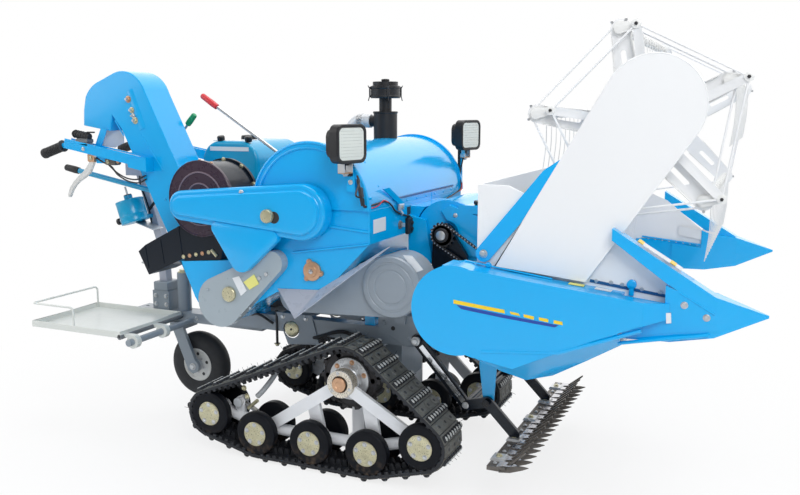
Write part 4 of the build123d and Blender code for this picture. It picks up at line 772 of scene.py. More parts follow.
def make_main_guard():
    """The grey main guard's round pan with its pressed rings, and a blank plate on its flat case."""
    form = Form()
    form.turned([(104, -17), (104, -5), (101.5, -1.4), (97, 0), (86, 0), (84, -1.6), (80, -1.6), (78, 0),
                 (62, 0.6), (60, -1), (56, -1), (54, 0.8), (0, 1.4)], "grey", on_right(300, -340, 686), 56)
    form.done("main_guard_pan")
    plate = Form()
    plate.side_plates(-321.6, 1.3, ("label", (338, 796), (371, 796), (411, 752), (382, 740)))
    plate.done("main_guard_plate")


# Thresher


def make_thresher_side():
    """Folds of the drum case's right wall, its flared lower edge, and the shaft's bearing."""
    form = Form()
    for width, height, start, end in (
            (10, 5, (108, -400, 995), (262, -400, 988)), (7, 2.5, (252, -401, 988), (252, -401, 840)),
            (12, 5, (96, -400, 890), (256, -400, 877)), (9, 7, (-34, -400, 792), (254, -400, 838))):
        form.fold(RIGHT, width, height, "blue", start, end)
    form.done("thresher_folds")
    bearing = Form()
    face = on_right(40, -408, 733)
    bearing.turned([(33, -1), (33, 1), (30, 3), (20, 3.4), (18, 6), (10, 6.4), (8.5, 3), (0, 3)], "copper",
                   face, 36)
    bearing.turned([(8, 2), (8, 9), (6.5, 10)], "steel", face, 18)
    bearing.bolts(RIGHT, 6, "copper", *around(face, 34, 3, 110))
    bearing.done("bearing_fittings")


# Where the front panel's face is
PANEL = 252


def on_panel(y, z, out=0.0):
    """A place on the front panel, or that far out from it: its x is the machine's left and its y is up."""
    return place((PANEL + out, y, z), FORWARD)


def make_front_panel():
    """The front panel: blank labels, key switch, switch box, latch strap and seams."""
    form = Form()
    form.box((95, 46, 1.4), "label", on_panel(-320.5, 891, -0.2), 0.4)
    form.box((106, 51, 1.4), "black_and_hole_shade", on_panel(-37, 902.5, -0.2), 0.4)
    switch = on_panel(-154, 872)
    form.turned([(15, -1), (15, 3), (13, 5), (10, 5), (10, 9), (0, 9)], "grey_box", switch, 28)
    form.box((4, 14, 13), "silver", shifted(switch, 0, 0, 7), 1.2)
    form.box((98, 58, 18), "plastic", on_panel(-61, 862, -0.5), 6)
    for z in (872, 850):
        for y in (-84, -58, -32):
            form.turned([(7, 0), (7, 3.5), (5.5, 4.5), (0, 4.5)], "wire", on_panel(y, z, 17), 14)
    form.done("front_panel_fittings")
    strap = Form()
    strap.loft([[(x, y, z), (x + 5, y2, z + 2), (x + 9, y2, z + 2), (x + 4, y, z)] for x, y, y2, z in
                ((253, -300, -262, 1010), (255, -180, -146, 950), (255, -172, -140, 938))], "blue")
    strap.box((40, 22, 9), "silver", on_panel(-166, 936, 6), 3)
    strap.bolts(FORWARD, 6, "zinc", (264, -166, 936))
    strap.tube([(262, -176, 930), (270, -168, 914), (262, -158, 906)], 3, "silver")
    strap.done("latch_strap")
    seam = Form()
    # The seam under the hood's edge is painted shade: a dark blue line on its fold.
    seam.fold(FORWARD, 8, 2.6, "fold_shade", (PANEL, -210, 967), (PANEL, 378, 967))
    seam.fold(FORWARD, 5, 1.6, "blue", (PANEL, 145, 960), (PANEL, 145, 845))
    seam.domes(FORWARD, 4.5, "blue", *[(PANEL, y, 952) for y in range(-180, 400, 90)])
    seam.done("panel_seam")


def make_hood_rims():
    """Rolled rims on both ends of the hood, the bead inside the right one, and rivets."""
    middle = (37, 946)
    form = Form()
    whole = range(0, 181, 5)
    for y, reach, radius, turns in ((-412.5, 219, 4.2, whole), (475.5, 219, 4.2, whole),
                                    (-411, 203, 3.2, range(18, 171, 6))):
        form.tube(at_y(y, [polar(turn, reach, *middle) for turn in turns]), radius, "blue")
    for turn in (20, 45, 70, 95, 120):
        rivets, outward = at_y(-300, [polar(turn, 214, *middle)]), at_y(0, [polar(turn)])
        form.domes(*outward, 4.5, "blue", *rivets)
    form.done("hood_rims")


# Elevator, blower, air cleaner and tank


def make_elevator_fittings():
    """The adjuster with its bolts on the elevator's head, and the creases of its wall."""
    form = Form()
    form.fold(RIGHT, 40, 2.5, "blue", (-852, -240, 1346), (-794, -240, 1198))
    for x, z, size, finish in ((-857, 1311, 10, "copper"), (-842, 1269, 9, "zinc"),
                               (-836, 1248, 7, "silver"), (-828, 1230, 10, "zinc")):
        form.bolts(RIGHT, size, finish, (x, -242, z))
        form.rod((x, -244, z), (x, -258, z), size * 0.45, "silver", 12)
    form.fold(RIGHT, 9, 1.8, "blue", (-808, -240, 1178), (-708, -240, 1041))
    form.fold(RIGHT, 6, 1.4, "blue", (-930, -240, 1230), (-890, -240, 1170))
    rivets = ((-700, 930), (-640, 812), (-600, 735), (-520, 905), (-560, 980))
    form.domes(RIGHT, 5, "blue", *at_y(-240, rivets))
    form.done("elevator_fittings")


def make_blower():
    """Pressed rings on the maroon disc, the inner two with a painted highlight, bolts on the flanges, and
    the folds of the outlet.
    """
    middle = (-407, 960)
    form = Form()
    # The two inner rings wear a painted highlight; the outer one is plain maroon.
    for radius, height, finish in ((94, 2.4, "maroon_highlight"), (54, 2.4, "maroon_highlight"), (133, 2, "maroon")):
        form.turned([(radius + 3, -1), (radius + 3, 0.2), (radius + 1.5, height), (radius - 1.5, height),
                     (radius - 3, 0.2), (radius - 3, -1)], finish, place(*at_y(-412, [middle]), RIGHT), 40)
    form.bolts(RIGHT, 9, "silver", *at_y(-413, [middle]))
    form.done("blower_rings")
    bolts = Form()
    bolts.bolts(RIGHT, 6, "zinc", *at_y(-256, [polar(turn, 131, *middle) for turn in range(20, 380, 36)]))
    for turn in range(70, 181, 22):
        bolts.bolts(*at_y(0, [polar(turn)]), 5.5, "copper", *at_y(-400, [polar(turn, 134, *middle)]))
    for i in range(5):
        bolts.bolts(RIGHT, 5.5, "copper" if i % 2 else "zinc", (-498 + i * 28, -401, 744 + i * 6))
    bolts.rod((-372, -402, 778), (-350, -402, 756), 6, "zinc")
    for x, low, high in ((-672, 690, 776), (-600, 712, 806), (-515, 744, 850)):
        bolts.fold(RIGHT, 5, 2, "black", (x, -400, high - 6), (x + 12, -400, low))
    bolts.done("blower_bolts")


def make_air_cleaner():
    """Ribs, clips and band of the air cleaner, and the corrugated duct with its clamps."""
    form = Form()
    middle = (17, 235)
    spot = on_top(*middle, 0)
    for z in (1262, 1110):
        form.turned([(47, z - 6), (49.5, z - 4), (49.5, z + 1), (47, z + 3)], "plastic", spot, 32)
    form.turned([(57, 1316), (60, 1319), (60, 1326), (57, 1329)], "plastic", spot, 36)
    form.turned([(57, 1350), (60, 1354), (60, 1362), (50, 1366)], "plastic", spot, 36)
    form.turned([(13, 1380), (17, 1385), (15, 1390), (0, 1392)], "plastic", spot, 20)
    for turn in (35, 125, 215, 305):
        clip = place((*polar(turn, 60, *middle), 1340), (*polar(turn), 0))
        form.box((12, 40, 5), "plastic", clip, 1.5)
        form.rod(clip @ Vector((0, -18, 4)), clip @ Vector((0, -34, 8)), 2, "wire", 6)
        form.tube([clip @ Vector(p) for p in ((-6, 16, 4), (0, 24, 9), (6, 16, 4))], 1.8, "wire", 6)
    form.done("air_cleaner_clips")
    duct = Form()
    line = curve_through(at_y(235, (
        (-45, 1226), (-90, 1226), (-118, 1214), (-160, 1160), (-205, 1112), (-262, 1064), (-310, 1030),
        (-320, 1000), (-320, 950))), 6)
    rings = []
    for i, here in enumerate(line):
        way = (line[min(i + 1, len(line) - 1)] - line[max(i - 1, 0)]).normalized()
        lift = way.cross(LEFT).normalized()
        radius = 27 if i < 5 else 28 if i % 2 else 26.6
        rings.append([here + LEFT * x + lift * y for x, y in ring(radius, 20)])
    duct.loft(rings, "hose")
    for i in (5, 7):
        way = (line[i + 1] - line[i - 1]).normalized()
        duct.turned([(28, -5), (30, -4), (30, 4), (28, 5)], "silver", place(line[i], way, LEFT), 28)
        duct.box((10, 12, 12), "silver", place(line[i] + Vector((4, -24, 8)), (0, -1, 0.3)), 2)
    duct.done("intake_duct", replaces=["intake_hose"])


def make_tank_fittings():
    """The tank's pale band, its cap and knobs."""
    form = Form()
    form.turned([(33, 0), (33, 12), (30, 18), (12, 20), (0, 20)], "plastic", on_top(-530, 90, 1150), 28)
    for x in (-560, -432):
        form.turned([(13, 0), (15, 8), (15, 18), (12, 22), (0, 22)], "plastic",
                    place((x, -60, 1148), (0, -0.2, 1), FORWARD), 18)
    form.side_plates(-80, 1.5, ("label", (-600, 1128), (-420, 1128), (-420, 1112), (-600, 1112)))
    form.box((170, 130, 3), "label", on_top(-530, 20, 1149), 1)
    form.done("tank_fittings")


# Lamps and wires


def make_lamps():
    """Ribbed glass, housing fins and plated brackets of the two work lamps, and their posts."""
    across, out = Vector((*polar(76), 0)), Vector((*polar(-14), 0))
    for name, *middle in (("near", 229, -470, 1165), ("far", 290, 487, 1168)):
        front = place(middle, out)
        form = Form()
        form.layers([(rounded(116, 100, 17), -7), (rounded(115, 99, 17), -4.5),
                     (rounded(106, 90, 15), -3.2)], "lens", front)
        # The ribs of the glass are painted shade: darker lines over the lens.
        for i in range(-4, 5):
            form.box((100, 2, 1.4), "lens_rib_shade", shifted(front, 0, i * 10, -3.4), 0.3)
        for i in (-3, -1, 1, 3):
            form.box((1.6, 84, 1.2), "lens_rib_shade", shifted(front, i * 13, 0, -3.4), 0.3)
        form.done(f"lamp_glass_{name}")
        rim = Form()
        rim.layers([(rounded(width, width - 16, corner), height) for width, corner, height in (
            (139, 27, -8), (139.6, 27, -2), (136, 25, 1.4), (124, 21, 1.4), (119, 19, -2), (118, 18, -6))],
                   "plastic", front)
        for i in range(-3, 4):
            rim.box((84, 2.2, 3), "plastic", shifted(front, 0, i * 13, -67), 0.6)
        rim.done(f"lamp_rim_{name}")
        hold = Form()
        foot = Vector(middle) - out * 30
        for side in (-19, 19):
            hold.box((4, 26, 30), "silver", place(foot + across * side - UP * 92, UP, out), 1)
        hold.box((42, 26, 4), "copper", place(foot - UP * 94, UP, out), 1)
        hold.bolts(-UP, 8, "silver", foot - UP * 96)
        hold.bolts(UP, 7, "silver", foot - UP * 90)
        hold.done(f"lamp_bracket_{name}")
    post = Form()
    for near, far, *feet in (
            ((-416, -412), (-420, -418), (182, 1010), (214, 1006), (206, 1092), (180, 1092)),
            ((478, 482), (486, 489), (232, 960), (254, 958), (252, 1096), (236, 1096))):
        post.loft([at_y(low, feet[:2]) + at_y(high, feet[2:]) for low, high in (near, far)], "blue")
    post.bolts(RIGHT, 6, "silver", (196, -420, 1040))
    post.done("lamp_posts")


def make_wires():
    """Lamp wires along the hood's foot and down the front panel, with their connector."""
    form = Form()
    form.cord(3.2, "wire", (222, -424, 1062), (232, -430, 1040), (240, -470, 1004), (240, -420, 989),
              (243, -420, 968), (246, -420, 962), (252, -388, 963), (254, -319, 966), (256, -271, 965),
              (258, -235, 948), (258, -209, 929), (258, -170, 914), (258, -90, 896), (258, -6, 879),
              (258, 68, 864), (256, 113, 847))
    form.cord(2.8, "wire", (258, 68, 864), (262, 113, 852), (262, 191, 898), (260, 300, 925),
              (258, 358, 930), (262, 447, 954), (250, 470, 1010), (262, 480, 1090))
    form.cord(3, "wire", (258, 54, 861), (262, 39, 817), (262, 30, 760), (262, 36, 700))
    form.cord(1.8, "red", (246, -418, 966), (252, -396, 955), (256, -340, 958), (258, -300, 972),
              (258, -262, 962), steps=6)
    form.cord(1.8, "red", (256, 410, 938), (266, 440, 946), (262, 462, 972), steps=6)
    form.done("lamp_wires")
    plug = Form()
    plug.cord(5, "wire", (226, -428, 1050), (236, -436, 1022), (243, -438, 990), (244, -432, 968), steps=10,
              smooth=4)
    plug.box((15, 10, 34), "plastic", place((236, -430, 1026), (0.2, -0.1, -1), FORWARD), 3)
    plug.done("wire_connector")


# Handles and levers

HANDLES = (-262, 182)


def make_handles():
    """Channels and ribbed grips of the handlebar, and the plates by its foot."""
    form = Form()
    start, end = Vector((-764, 0, 1066)), Vector((-1160, 0, 1135))
    up = LEFT.cross(end - start).normalized()
    for y in HANDLES:
        middle = LEFT * y
        for side in (-1, 1):
            section = [LEFT * side * x + up * z for x, z in ((19, 12), (16, 12), (16, 24), (19, 24))]
            form.loft([[spot + middle + push for push in section] for spot in (start, end)], "blue")
        form.box((165, 30, 5), "label", place(start.lerp(end, 0.32) + middle + up * 14, up, LEFT), 1)
        form.bolts(RIGHT, 6, "silver", start.lerp(end, 0.75) + middle + RIGHT * 20)
    form.side_plates(-238, 48, ("blue", (-842, 1086), (-749, 1090), (-749, 1036), (-836, 1052)))
    form.side_plates(-244, 5, ("blue", (-996, 1200), (-966, 1197), (-1008, 1110), (-1040, 1112)))
    form.slab([(-1026, -200, 1192), (-925, -200, 1190), (-925, -200, 1142), (-968, -204, 1122),
               (-1035, -206, 1127)], RIGHT * 3, "label")
    form.done("handle_channels")
    grips = Form()
    profile = [(19, 22), (24, 24), (24, 29), (19, 31)]
    for z in range(33, 106, 9):
        profile += [(20.4, z), (20.4, z + 5), (18.4, z + 6.5), (18.4, z + 8.5)]
    profile += [(20.4, 116), (21.5, 128), (20, 136), (14, 140), (0, 141)]
    for y in HANDLES:
        grips.turned(profile, "grip", place((-1160, y, 1135), (-121, 0, -39)), 28)
    grips.done("grips_ribbed", replaces=["hand_grips"])


def knob(form, start, end, radius, finish):
    """A grip round a lever's end, a little wider in its middle."""
    way = Vector(end) - Vector(start)
    long = way.length
    form.turned([(radius * 0.6, 0), (radius * 0.92, 3), (radius, long * 0.3), (radius * 0.9, long - 4),
                 (radius * 0.7, long)], finish, place(start, way, LEFT), 22)


def on_lever(x, y, z):
    """A place that faces up: its x is forward and its y is the machine's left."""
    return place((x, y, z), UP, LEFT)


def make_clutch_lever(form, y):
    """The cast clutch lever that bends down below the handle, with its pivot and switch box."""
    line = [(-1024, 1090, 9), (-1036, 1064, 13), (-1056, 1034, 15), (-1080, 1014, 13), (-1106, 998, 11),
            (-1132, 978, 11), (-1150, 956, 10), (-1162, 932, 8), (-1165, 922, 4)]
    rings = []
    for i, (x, z, half) in enumerate(line):
        before, after = line[max(i - 1, 0)], line[min(i + 1, len(line) - 1)]
        way = Vector((after[0] - before[0], after[1] - before[1])).normalized()
        side = Vector((-way.y, 0, way.x)) * half
        rings.append([Vector((x, y, z)) + side * c + LEFT * s for c, s in (
            (1, 2.8), (0.7, 7), (-0.7, 7), (-1, 2.8), (-1, -2.8), (-0.7, -7), (0.7, -7), (1, -2.8))])
    form.loft(rings, "rim_light")
    form.box((34, 22, 34), "copper", on_lever(-1033, y, 1066), 4)
    form.bolts(RIGHT, 6, "zinc", (-1033, y - 12, 1082))
    form.bolts(RIGHT, 5, "silver", (-1010, y - 10, 1092))
    form.box((66, 38, 12), "silver", on_lever(-1073, y, 1128), 3)
    form.box((60, 34, 22), "grey_box", on_lever(-1071, y, 1138), 6)


def make_levers():
    """Shift lever, throttle, gear lever and clutch lever, with their coloured ends and cables."""
    form = Form()
    form.rod((-1262, -150, 1027), (-758, -150, 935), 11, "teal", 20)
    form.turned([(12.6, 0), (12.6, 12)], "teal", place((-800, -150, 942.6), (-1, 0, 0.18), LEFT), 20)
    form.done("shift_lever")
    rods = Form()
    rods.rod((-560, -150, 1313), (-172, -150, 1068), 6, "silver", 14)
    rods.tube([(-694, -60, 1241), (-768, -60, 1160), (-880, -60, 1062), (-945, -60, 1042)], 5, "silver", 10)
    rods.box((48, 28, 36), "blue", on_lever(-154, -150, 1050), 3)
    make_clutch_lever(rods, -262)
    rods.done("lever_rods", replaces=["control_levers"])
    ends = Form()
    knob(ends, (-1216, -150, 1018.5), (-1290, -150, 1032), 15, "grip")
    knob(ends, (-508, -150, 1280), (-578, -150, 1325), 12, "red")
    knob(ends, (-722, -60, 1211), (-684, -60, 1252), 12.5, "green")
    knob(ends, (-1040, -262, 1164), (-1126, -262, 1178), 15, "grip")
    for i in range(6):
        ends.turned([(15, -1.5), (16.8, 0), (15, 1.5)], "grip",
                    place((-1052 - 12.8 * i, -262, 1166 + 2.1 * i), (-86, 0, 14), LEFT), 22)
    ends.box((34, 10, 6), "plastic", on_lever(-1036, -262, 1180), 2)
    ends.done("lever_ends", replaces=["lever_knobs"])
    cables = Form()
    for drop, y in ((0, -262), (14, -250)):
        cables.cord(3, "wire", (-1012, y, 1082), (-980, y, 1066), (-942, y, 1052 - drop),
                    (-918, y, 1030 - drop), (-868, y, 1008 - drop), (-817, y, 1004 - drop),
                    (-787, -243, 1019 - drop))
    cables.cord(3, "wire", (-975, -60, 1050), (-968, -70, 1020), (-972, -64, 960), (-950, -60, 900),
                (-935, -62, 860), (-925, -60, 800))
    cables.box((50, 34, 26), "cutter", on_lever(-940, -252, 1056), 4)
    cables.bolts(RIGHT, 6, "zinc", (-950, -270, 1070))
    cables.bolts(RIGHT, 6, "copper", (-900, -270, 1072))
    cables.rod((-933, -60, 862), (-890, -60, 908), 6, "wire", 8)
    cables.done("handle_cables")


def make_can():
    """The can hung on the column: rolled seams, neck, cap and drain knob."""
    form = Form()
    spot = place((-960, -118, 812), (-29, 0, 90), LEFT)
    form.turned([(50, -0.5), (56.5, 1), (57.5, 4), (56.2, 7), (56.2, 30), (57, 32), (56.2, 34), (56.2, 86),
                 (57.5, 89), (56.5, 93), (50, 95), (30, 96), (0, 96)], "teal", spot, 36)
    form.turned([(19, 94), (19, 99), (11, 103), (11, 108), (16, 110), (16, 118), (0, 119)], "plastic",
                spot, 24)
    form.rod(spot @ Vector((0, 0, 119)), spot @ Vector((0, 0, 152)), 4, "silver")
    form.rod((-1006, -118, 824), (-1040, -118, 812), 8, "silver", 12)
    form.turned([(11, 0), (14, 3), (14, 13), (10, 16), (0, 16)], "plastic",
                place((-1038, -118, 812), (-1, 0, -0.32), LEFT), 18)
    form.box((120, 66, 4), "silver", place((-925, -90, 800), (0.28, 0, 1), LEFT), 1)
    form.done("can_fittings")


# Chassis


def make_chassis_fittings():
    """Bolts, eyes and plated caps on the frame's plates, and the tray's pivot ends."""
    form = Form()
    for way in (-1, 1):
        out = LEFT * way
        cap = place((-184, way * 176, 453), out)
        form.turned([(30, -2), (30, 3), (27, 5), (10, 5.5), (0, 5.5)], "zinc", cap, 32)
        # Painted shade: the dark discs in the middle of each cap and on the plate stand for holes.
        form.turned([(4, 0), (4, 3)], "black_and_hole_shade", shifted(cap, 0, 0, 5), 12)
        form.turned([(8, 0.2), (8, 1)], "black_and_hole_shade", place((238, way * 181, 502), out), 18)
        form.bolts(out, 7, "grey", (204, way * 181, 520), (300, way * 181, 470))
        form.bolts(out, 7, "silver", (-220, way * 181, 500), (-120, way * 181, 500))
        form.bolts(out, 12, "silver", (344, way * 229, 478))
        form.domes(out, 5, "grey", *[(x, way * 175, 470) for x in (-500, -440, 80, 130)])
    for y in (-452, -410):
        form.turned([(13, -2), (9, -2), (9, -3)], "grey", on_right(-727, y, 407), 20)
    form.turned([(24, 0), (24, 5), (17, 6), (17, 14), (0, 14)], "zinc", on_top(-787, -40, 600), 24)
    form.bolts(RIGHT, 7, "silver", *[(x, -81, z) for x in (-905, -852) for z in (500, 464)])
    form.bolts(RIGHT, 6, "silver", *[(x, -81, 420) for x in (-940, -830, -700)])
    form.box((80, 70, 40), "grey", on_top(-878, -40, 520), 4)
    form.box((120, 90, 8), "silver", on_top(-893, -60, 640), 2)
    form.done("frame_bolts")
    under = Form()
    under.cord(7, "wire", (-120, -150, 420), (-60, -190, 440), (40, -190, 470), (140, -186, 440))
    under.cord(5, "wire", (-400, -150, 470), (-330, -186, 500), (-260, -186, 470))
    under.box((70, 60, 60), "iron", on_top(-300, -110, 520), 6)
    under.rod((-250, -176, 380), (-250, -176, 520), 5, "wire")
    under.bolts(-UP, 9, "zinc", (-250, -176, 390))
    under.done("frame_hoses")


TAIL_AXLE = Vector((-712, -40, 218))


def make_tail_wheel():
    """The smooth tyre with its round shoulders, the dished rim with its holes painted as dark discs of
    shade, and the fork's bolts.
    """
    form = Form()
    side = [(70, -30), (86, -33.5), (104, -34), (120, -30), (131, -22), (136, -11)]
    form.turned(side + [(137, 0)] + [(radius, -y) for radius, y in side[::-1]], "tyre",
                place(TAIL_AXLE, LEFT), 56, hollow=True)
    form.done("tail_tyre_round", body="tail_wheel", replaces=["tail_tyre"])
    rim = Form()
    for way in (-1, 1):
        out = LEFT * way
        face = place(TAIL_AXLE + out * 24, out)
        rim.turned([(70, -2), (70, 4), (66, 6), (61, 5), (56, 0.8), (50, 0.6)], "rim_light", face, 44)
        # The rim's holes are painted shade: dark discs on its face.
        for x, y in ring(46, 5, 17.19):
            rim.turned([(7, 0), (7, 1.2)], "black_and_hole_shade", shifted(face, x, y, 0), 16)
        rim.bolts(out, 4.6, "silver", *around(face, 32, 5, 51.57))
    rim.done("tail_rim_face", body="tail_wheel")
    fork = Form()
    fork.bolts(RIGHT, 11, "silver", TAIL_AXLE + RIGHT * 61)
    fork.bolts(RIGHT, 7, "silver", (-787, -101, 384))
    fork.done("tail_fork_bolts", body="tail_swivel")


def make_tray_edges():
    """Rolled edge of the tray, rivets, and the rod in its pivot rail."""
    form = Form()
    form.tube([(-1213, -450, 443), (-1213, -92, 443), (-769, -92, 443), (-769, -450, 443)], 2.4, "tray",
              closed=True)
    form.domes(-FORWARD, 4, "tray", *[(-1216, y, 432) for y in (-420, -330, -256, -180, -120)])
    form.rod((-772, -452, 424), (-772, -88, 424), 10, "rail_grey", 16)
    form.done("tray_edge", body="tray")


# Header


def make_cover_trim():
    """Stripes, blank plates, folds and bolts of the header's drive cover, and its lower facet."""
    form = Form()
    form.side_plates(
        -639.5, 1.3, ("yellow", (635, 738), (785, 723), (787, 713), (635, 727)),
        ("yellow", (801, 720), (825, 717), (831, 710), (804, 713)),
        ("yellow", (840, 716), (869, 712.5), (869, 703.5), (841, 708)),
        ("yellow", (883, 712), (909, 709), (909, 700), (884, 703.5)),
        ("yellow", (925, 708), (948, 705.5), (949, 696.5), (924, 699)),
        ("navy", (644, 724), (782, 709), (938, 695), (928, 688), (780, 700), (659, 713)))
    form.done("cover_stripes", body="header")
    facet = Form()
    high = [(640, 588), (690, 574), (811, 556), (944, 621), (1042, 666), (1094, 688)]
    low = [(1092, 636), (1000, 580), (905, 525), (827, 501), (745, 520), (700, 548)]
    facet.loft([[(x, -637, z + 3) for x, z in high] + [(x, -549, z) for x, z in low],
                [(x, -639, z) for x, z in high] + [(x, -550, z - 2) for x, z in low]], "blue")
    facet.done("cover_facet", body="header")
    trim = Form()
    trim.fold(RIGHT, 12, 3, "blue", (719, -639, 595), (936, -639, 616), (1041, -639, 657),
              (1153, -628, 700))
    trim.fold(UP, 10, 2.5, "blue", (640, -560, 838), (898, -560, 805))
    for finish, *ends in (("yellow_pale", (948, 799), (990, 795)), ("label", (1020, 791.5), (1064, 787))):
        trim.slab(at_y(-560, ends) + at_y(-584, ends[::-1]), UP * 1.2, finish)
    trim.slab([(1210, -597.5, 747), (1222, -593, 747), (1224, -593, 720), (1212, -597.5, 719)], RIGHT * 2,
              "label")
    trim.bolts(UP, 6, "blue", (610, -610, 824), (530, -610, 764))
    trim.bolts(-UP, 6, "blue", (520, -610, 664), (600, -610, 594), (820, -610, 576))
    trim.done("cover_trim", body="header")


def make_wall_fittings():
    """Bolts, folds and blank plates of the header's walls and of its right divider's nose."""
    wall = Form()
    bolts = ((1017, 806), (1057, 805), (1087, 802), (1139, 793), (1187, 789))
    wall.bolts(RIGHT, 4.5, "silver", *at_y(-547, bolts))
    # The fold along the bolts is painted shade: a dark blue line.
    wall.fold(RIGHT, 9, 2.5, "fold_shade", (1000, -547, 806), (1212, -547, 779))
    wall.turned([(13, 0), (13, 10), (10, 12)], "blue", on_right(1113, -547, 806), 20)
    wall.rod((1113, -552, 806), (1113, -552, 776), 7, "blue")
    wall.done("wall_bolts", body="header")
    nose = Form()
    for way in (-1, 1):
        nose.bolts(LEFT * way, 7, "silver", (1254, way * 592.5, 770), (1310, way * 592.5, 742))
    slope = Vector((0.5, 0, 0.85)).normalized()
    for finish, thick, *ends in (("label", 1.4, (1128, 929), (1242, 860)),
                                 ("yellow", 2.2, (1128, 929.4), (1142, 921)),
                                 ("yellow", 2.2, (1212, 878.4), (1226, 870))):
        nose.slab(at_y(-590, ends) + at_y(-552, ends[::-1]), slope * thick, finish)
    nose.fold(RIGHT, 7, 2, "blue", (1240, -592, 803), (1330, -592, 752))
    nose.cord(5, "blue", (1095, -600, 652), (1105, -604, 656), (1200, -604, 676), (1300, -598, 694),
              (1318, -590, 700), steps=10, smooth=4)
    nose.done("nose_fittings", body="header")
    inner = Form()
    inner.side_plates(534, 1.5, ("label", (1120, 830), (1262, 812), (1262, 770), (1120, 796)))
    inner.domes(RIGHT, 4, "silver", *[(x, 534, 776 - (x - 1010) * 0.075) for x in range(1010, 1200, 26)])
    inner.fold(RIGHT, 6, 5, "blue", (986, 534, 782), (1205, 534, 762))
    inner.slab([(683.5, -212, 994), (683.5, -2, 996), (683.5, -60, 970), (683.5, -160, 968)], FORWARD,
               "yellow")
    inner.done("inner_wall_fittings", body="header")


def make_feeder_fittings():
    """Teeth, links and hub of the feeder's chain drive, and the slots and knob of its guard; the slots are
    painted shade, dark strips on its face.
    """
    x, y, z = 396, -114, 838
    form = Form()
    face = on_right(x, y, z)
    form.turned([(41, -3), (41, 3)], "iron", face, 40)
    for tooth in range(16):
        tip, out = at_y(y, [polar(22.5 * tooth, 40, x, z)]), at_y(0, [polar(22.5 * tooth)])
        form.box((7, 6, 6), "iron", place(*tip, *out, LEFT), 1.5)
    form.turned([(26, 2), (26, 12), (23, 14)], "iron", face, 30)
    form.turned([(17, 12), (17, 17), (14, 19), (0, 19)], "silver", face, 24)
    form.done("feeder_sprocket_face")
    chain, link = Form(), Form()
    link.box((10, 8, 5), "iron", Matrix.Translation((0, 0, -2.5)), 1.5)
    link.rod((0, -7, 0), (0, 7, 0), 2.6, "steel", 8)
    length, walk = path_walk(wrap([(x, z, 39), (600, 712, 33)], 0, 15))
    pitch = 12
    links = int(length / pitch)
    for i in range(links):
        point, along = walk(i / links)
        chain.stamp(link, [place((point.x, y, point.y), (along.y, 0, -along.x), LEFT)])
    chain.done("feeder_chain_links")
    guard = Form()
    # The guard's slots are painted shade: dark strips on its face.
    for slot in (520, 540, 560):
        guard.box((7, 34, 1.2), "black_and_hole_shade", on_right(slot, -74.3, 800), 0.4)
    guard.turned([(9, 0), (14, 4), (14, 12), (10, 15), (0, 15)], "plastic", on_top(500, -40, 942), 18)
    guard.bolts(RIGHT, 6, "silver", (530, -74, 870), (430, -74, 905))
    guard.done("feeder_guard_fittings", body="header")


# Reel

REEL = (1086, 1220)
# The middle of the offset spider, which keeps the tines hanging down
OFFSET_REEL = (1132, 1229)
# The directions of the reel's arms in degrees, and their length
ARMS = (27.5, 99.5, 171.5, 243.5, 315.5)
ARM = 270


def make_reel_fittings():
    """Washers, bolts and nut caps at the ends of the reel's arms, and their pressed edges."""
    form, caps = Form(), Form()
    for turn in ARMS:
        cos, sin = polar(turn)
        along, across = Vector((cos, 0, sin)), Vector((-sin, 0, cos))
        for way in (-1, 1):
            out = LEFT * way
            hub = Vector((REEL[0], way * 475, REEL[1]))
            end = hub + along * ARM
            form.turned([(20, 0), (20, 2.5), (13, 4), (6, 4.2)], "reel_white", place(end, out), 24)
            for side in (-1, 1):
                form.bolts(out, 4.5, "silver", end + along * 20 + across * side * 19, washer=False)
                form.fold(out, 5, 9, "reel_white", hub + along * 120 + across * side * 31,
                          hub + along * 250 + across * side * 25)
        x, z = polar(turn, ARM, *OFFSET_REEL)
        caps.turned([(13, 0), (13, 4), (8, 6), (0, 6)], "reel_white", on_right(x, -499, z), 20)
        caps.bolts(RIGHT, 5, "black_and_hole_shade", (x, -505, z), washer=False)
    form.done("reel_arm_caps", body="reel")
    caps.done("eccentric_caps", body="eccentric")


def make_tines():
    """Each bat's tube with its end link, and round spring-wire tines with a coil at the top."""
    tine = Form()
    coil = [(x, 0.3 * i - 3, z) for i, (x, z) in enumerate(ring(13.5, 10) * 2)]
    tine.tube(coil[:16], 1.4, "reel_white", 6)
    tine.cord(1.2, "reel_white", (13, 0, 0), (15, 0, -30), (15, 0, -90), (9, 0, -150), (6, 0, -171),
              steps=6, smooth=4)
    for number, turn in enumerate(ARMS, 1):
        x, z = polar(turn, ARM, *REEL)
        far_x, far_z = polar(turn, ARM, *OFFSET_REEL)
        form = Form()
        form.rod((x, -484, z), (x, 483, z), 12, "reel_white", 20)
        link = wrap([(x, z, 15), (far_x, far_z, 11)])
        form.layers([(link, 0), (link, 5), (inset(link, 0.3), 5.7), (inset(link, 1), 6)], "reel_white",
                    on_right(0, -482, 0))
        form.rod((far_x, -482, far_z), (far_x, -503, far_z), 6, "steel", 14)
        form.stamp(tine, [Matrix.Translation((x, y, z)) for y in range(-420, 421, 60)])
        form.done(f"reel_bat_{number}_wire", body=f"bat_{number}", replaces=[f"reel_bat_{number}"])


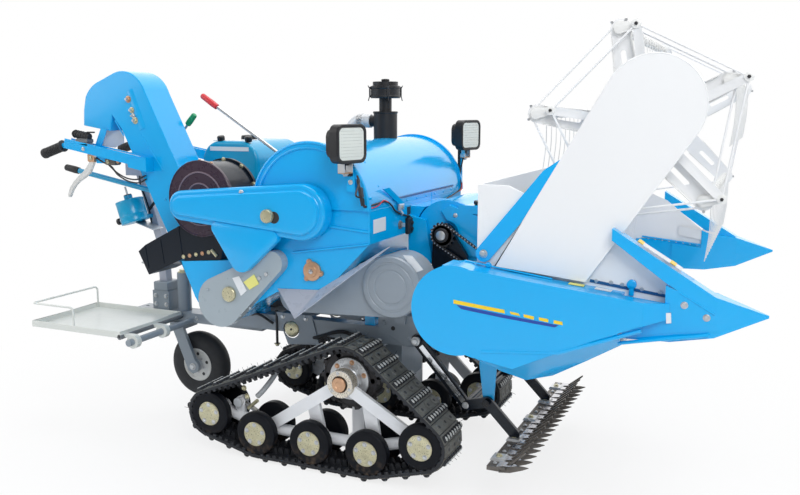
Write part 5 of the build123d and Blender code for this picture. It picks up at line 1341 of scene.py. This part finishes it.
def make_arm_fittings():
    """Bolts at the feet of the reel's arms, the edge of the white plate, and the shaft's nut."""
    form = Form()
    form.bolts(RIGHT, 9, "silver", (695, -559, 862))
    form.bolts(LEFT, 9, "silver", (695, 559, 862))
    form.bolts(RIGHT, 7, "blue", (712, -562, 830))
    edge = [(731, 829), (989, 805)] + [polar(turn, 132, 1149, 1282) for turn in range(-30, 146, 5)]
    form.tube(at_y(-561, edge), 2.2, "white", closed=True)
    form.done("reel_plate_edge", body="header")
    nut = Form()
    nut.turned([(24, 0), (24, 5), (16, 7), (16, 12), (0, 12)], "silver",
               place((REEL[0], 562, REEL[1]), LEFT), 24)
    nut.done("reel_shaft_nut", body="header")


# Lift and lower cutter


def make_lift_fittings():
    """Chrome slide and bolts on the lift arms."""
    form = Form()
    across = Vector((-178, 0, -160)).normalized() * 9
    for way in (-1, 1):
        out = LEFT * way
        section = (across, -across, out * 4 - across, out * 4 + across)
        ends = at_y(way * 214, ((360, 460), (520, 282)))
        form.loft([[Vector(end) + push for push in section] for end in ends], "chrome")
        form.bolts(out, 9, "silver", (525, way * 214, 268))
        form.bolts(out, 9, "wire", (602, way * 226, 289))
    form.done("lift_arm_fittings", body="lift_arm")


def make_lower_cutter_fittings():
    """Knife sections, long fingers and galvanised brackets on the lower cutter bar."""
    form = Form()
    for y in range(-425, 426, 50):
        form.loft([[(712, y - 22, z), (712, y + 22, z), (770, y + 3, tip), (770, y - 3, tip)]
                   for z, tip in ((172, 176), (175, 178))], "steel")
        form.loft([[(x, y - side, z), (x, y + side, z), (x, y + side * 0.6, top), (x, y - side * 0.6, top)]
                   for x, side, z, top in ((716, 13, 150, 172), (752, 11, 154, 174), (790, 5, 166, 176),
                                           (808, 1, 174, 176))], "cutter")
        form.bolts(UP, 5, "silver", (700, y, 174))
    for y in (-380, -206, 0, 206, 380):
        form.loft([[(low, y - half, z), (high, y - half, z), (high, y + half, z), (low, y + half, z)]
                   for low, high, half, z in ((676, 726, 26, 172), (680, 720, 22, 180))], "silver")
        form.bolts(UP, 8, "zinc", (700, y, 180))
    form.done("cutter_fittings", body="lift_arm")


def main():
    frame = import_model()
    make_camera()
    make_world()
    make_floor()
    make_lamp("key", (2.6, -3.2, 3.6), (0, 0, 0.7), 2.4, 105)
    make_lamp("fill", (-3.4, -1.8, 2.4), (0, 0, 0.7), 3.0, 40)
    make_lamp("top", (0.3, 0.6, 4.2), (0, 0, 0.6), 3.2, 80)
    make_materials()
    finish_nodes(frame)
    for make in (
            make_tracks, make_rollers, make_hubs, make_sprocket_faces, make_upper_guard, make_lower_guard,
            make_main_guard, make_thresher_side, make_front_panel, make_hood_rims, make_elevator_fittings,
            make_blower, make_air_cleaner, make_tank_fittings, make_lamps, make_wires, make_handles,
            make_levers, make_can, make_chassis_fittings, make_tail_wheel, make_tray_edges, make_cover_trim,
            make_wall_fittings, make_feeder_fittings, make_reel_fittings, make_tines, make_arm_fittings,
            make_lift_fittings, make_lower_cutter_fittings):
        make()
    bpy.context.scene.view_settings.view_transform = "Standard"


main()
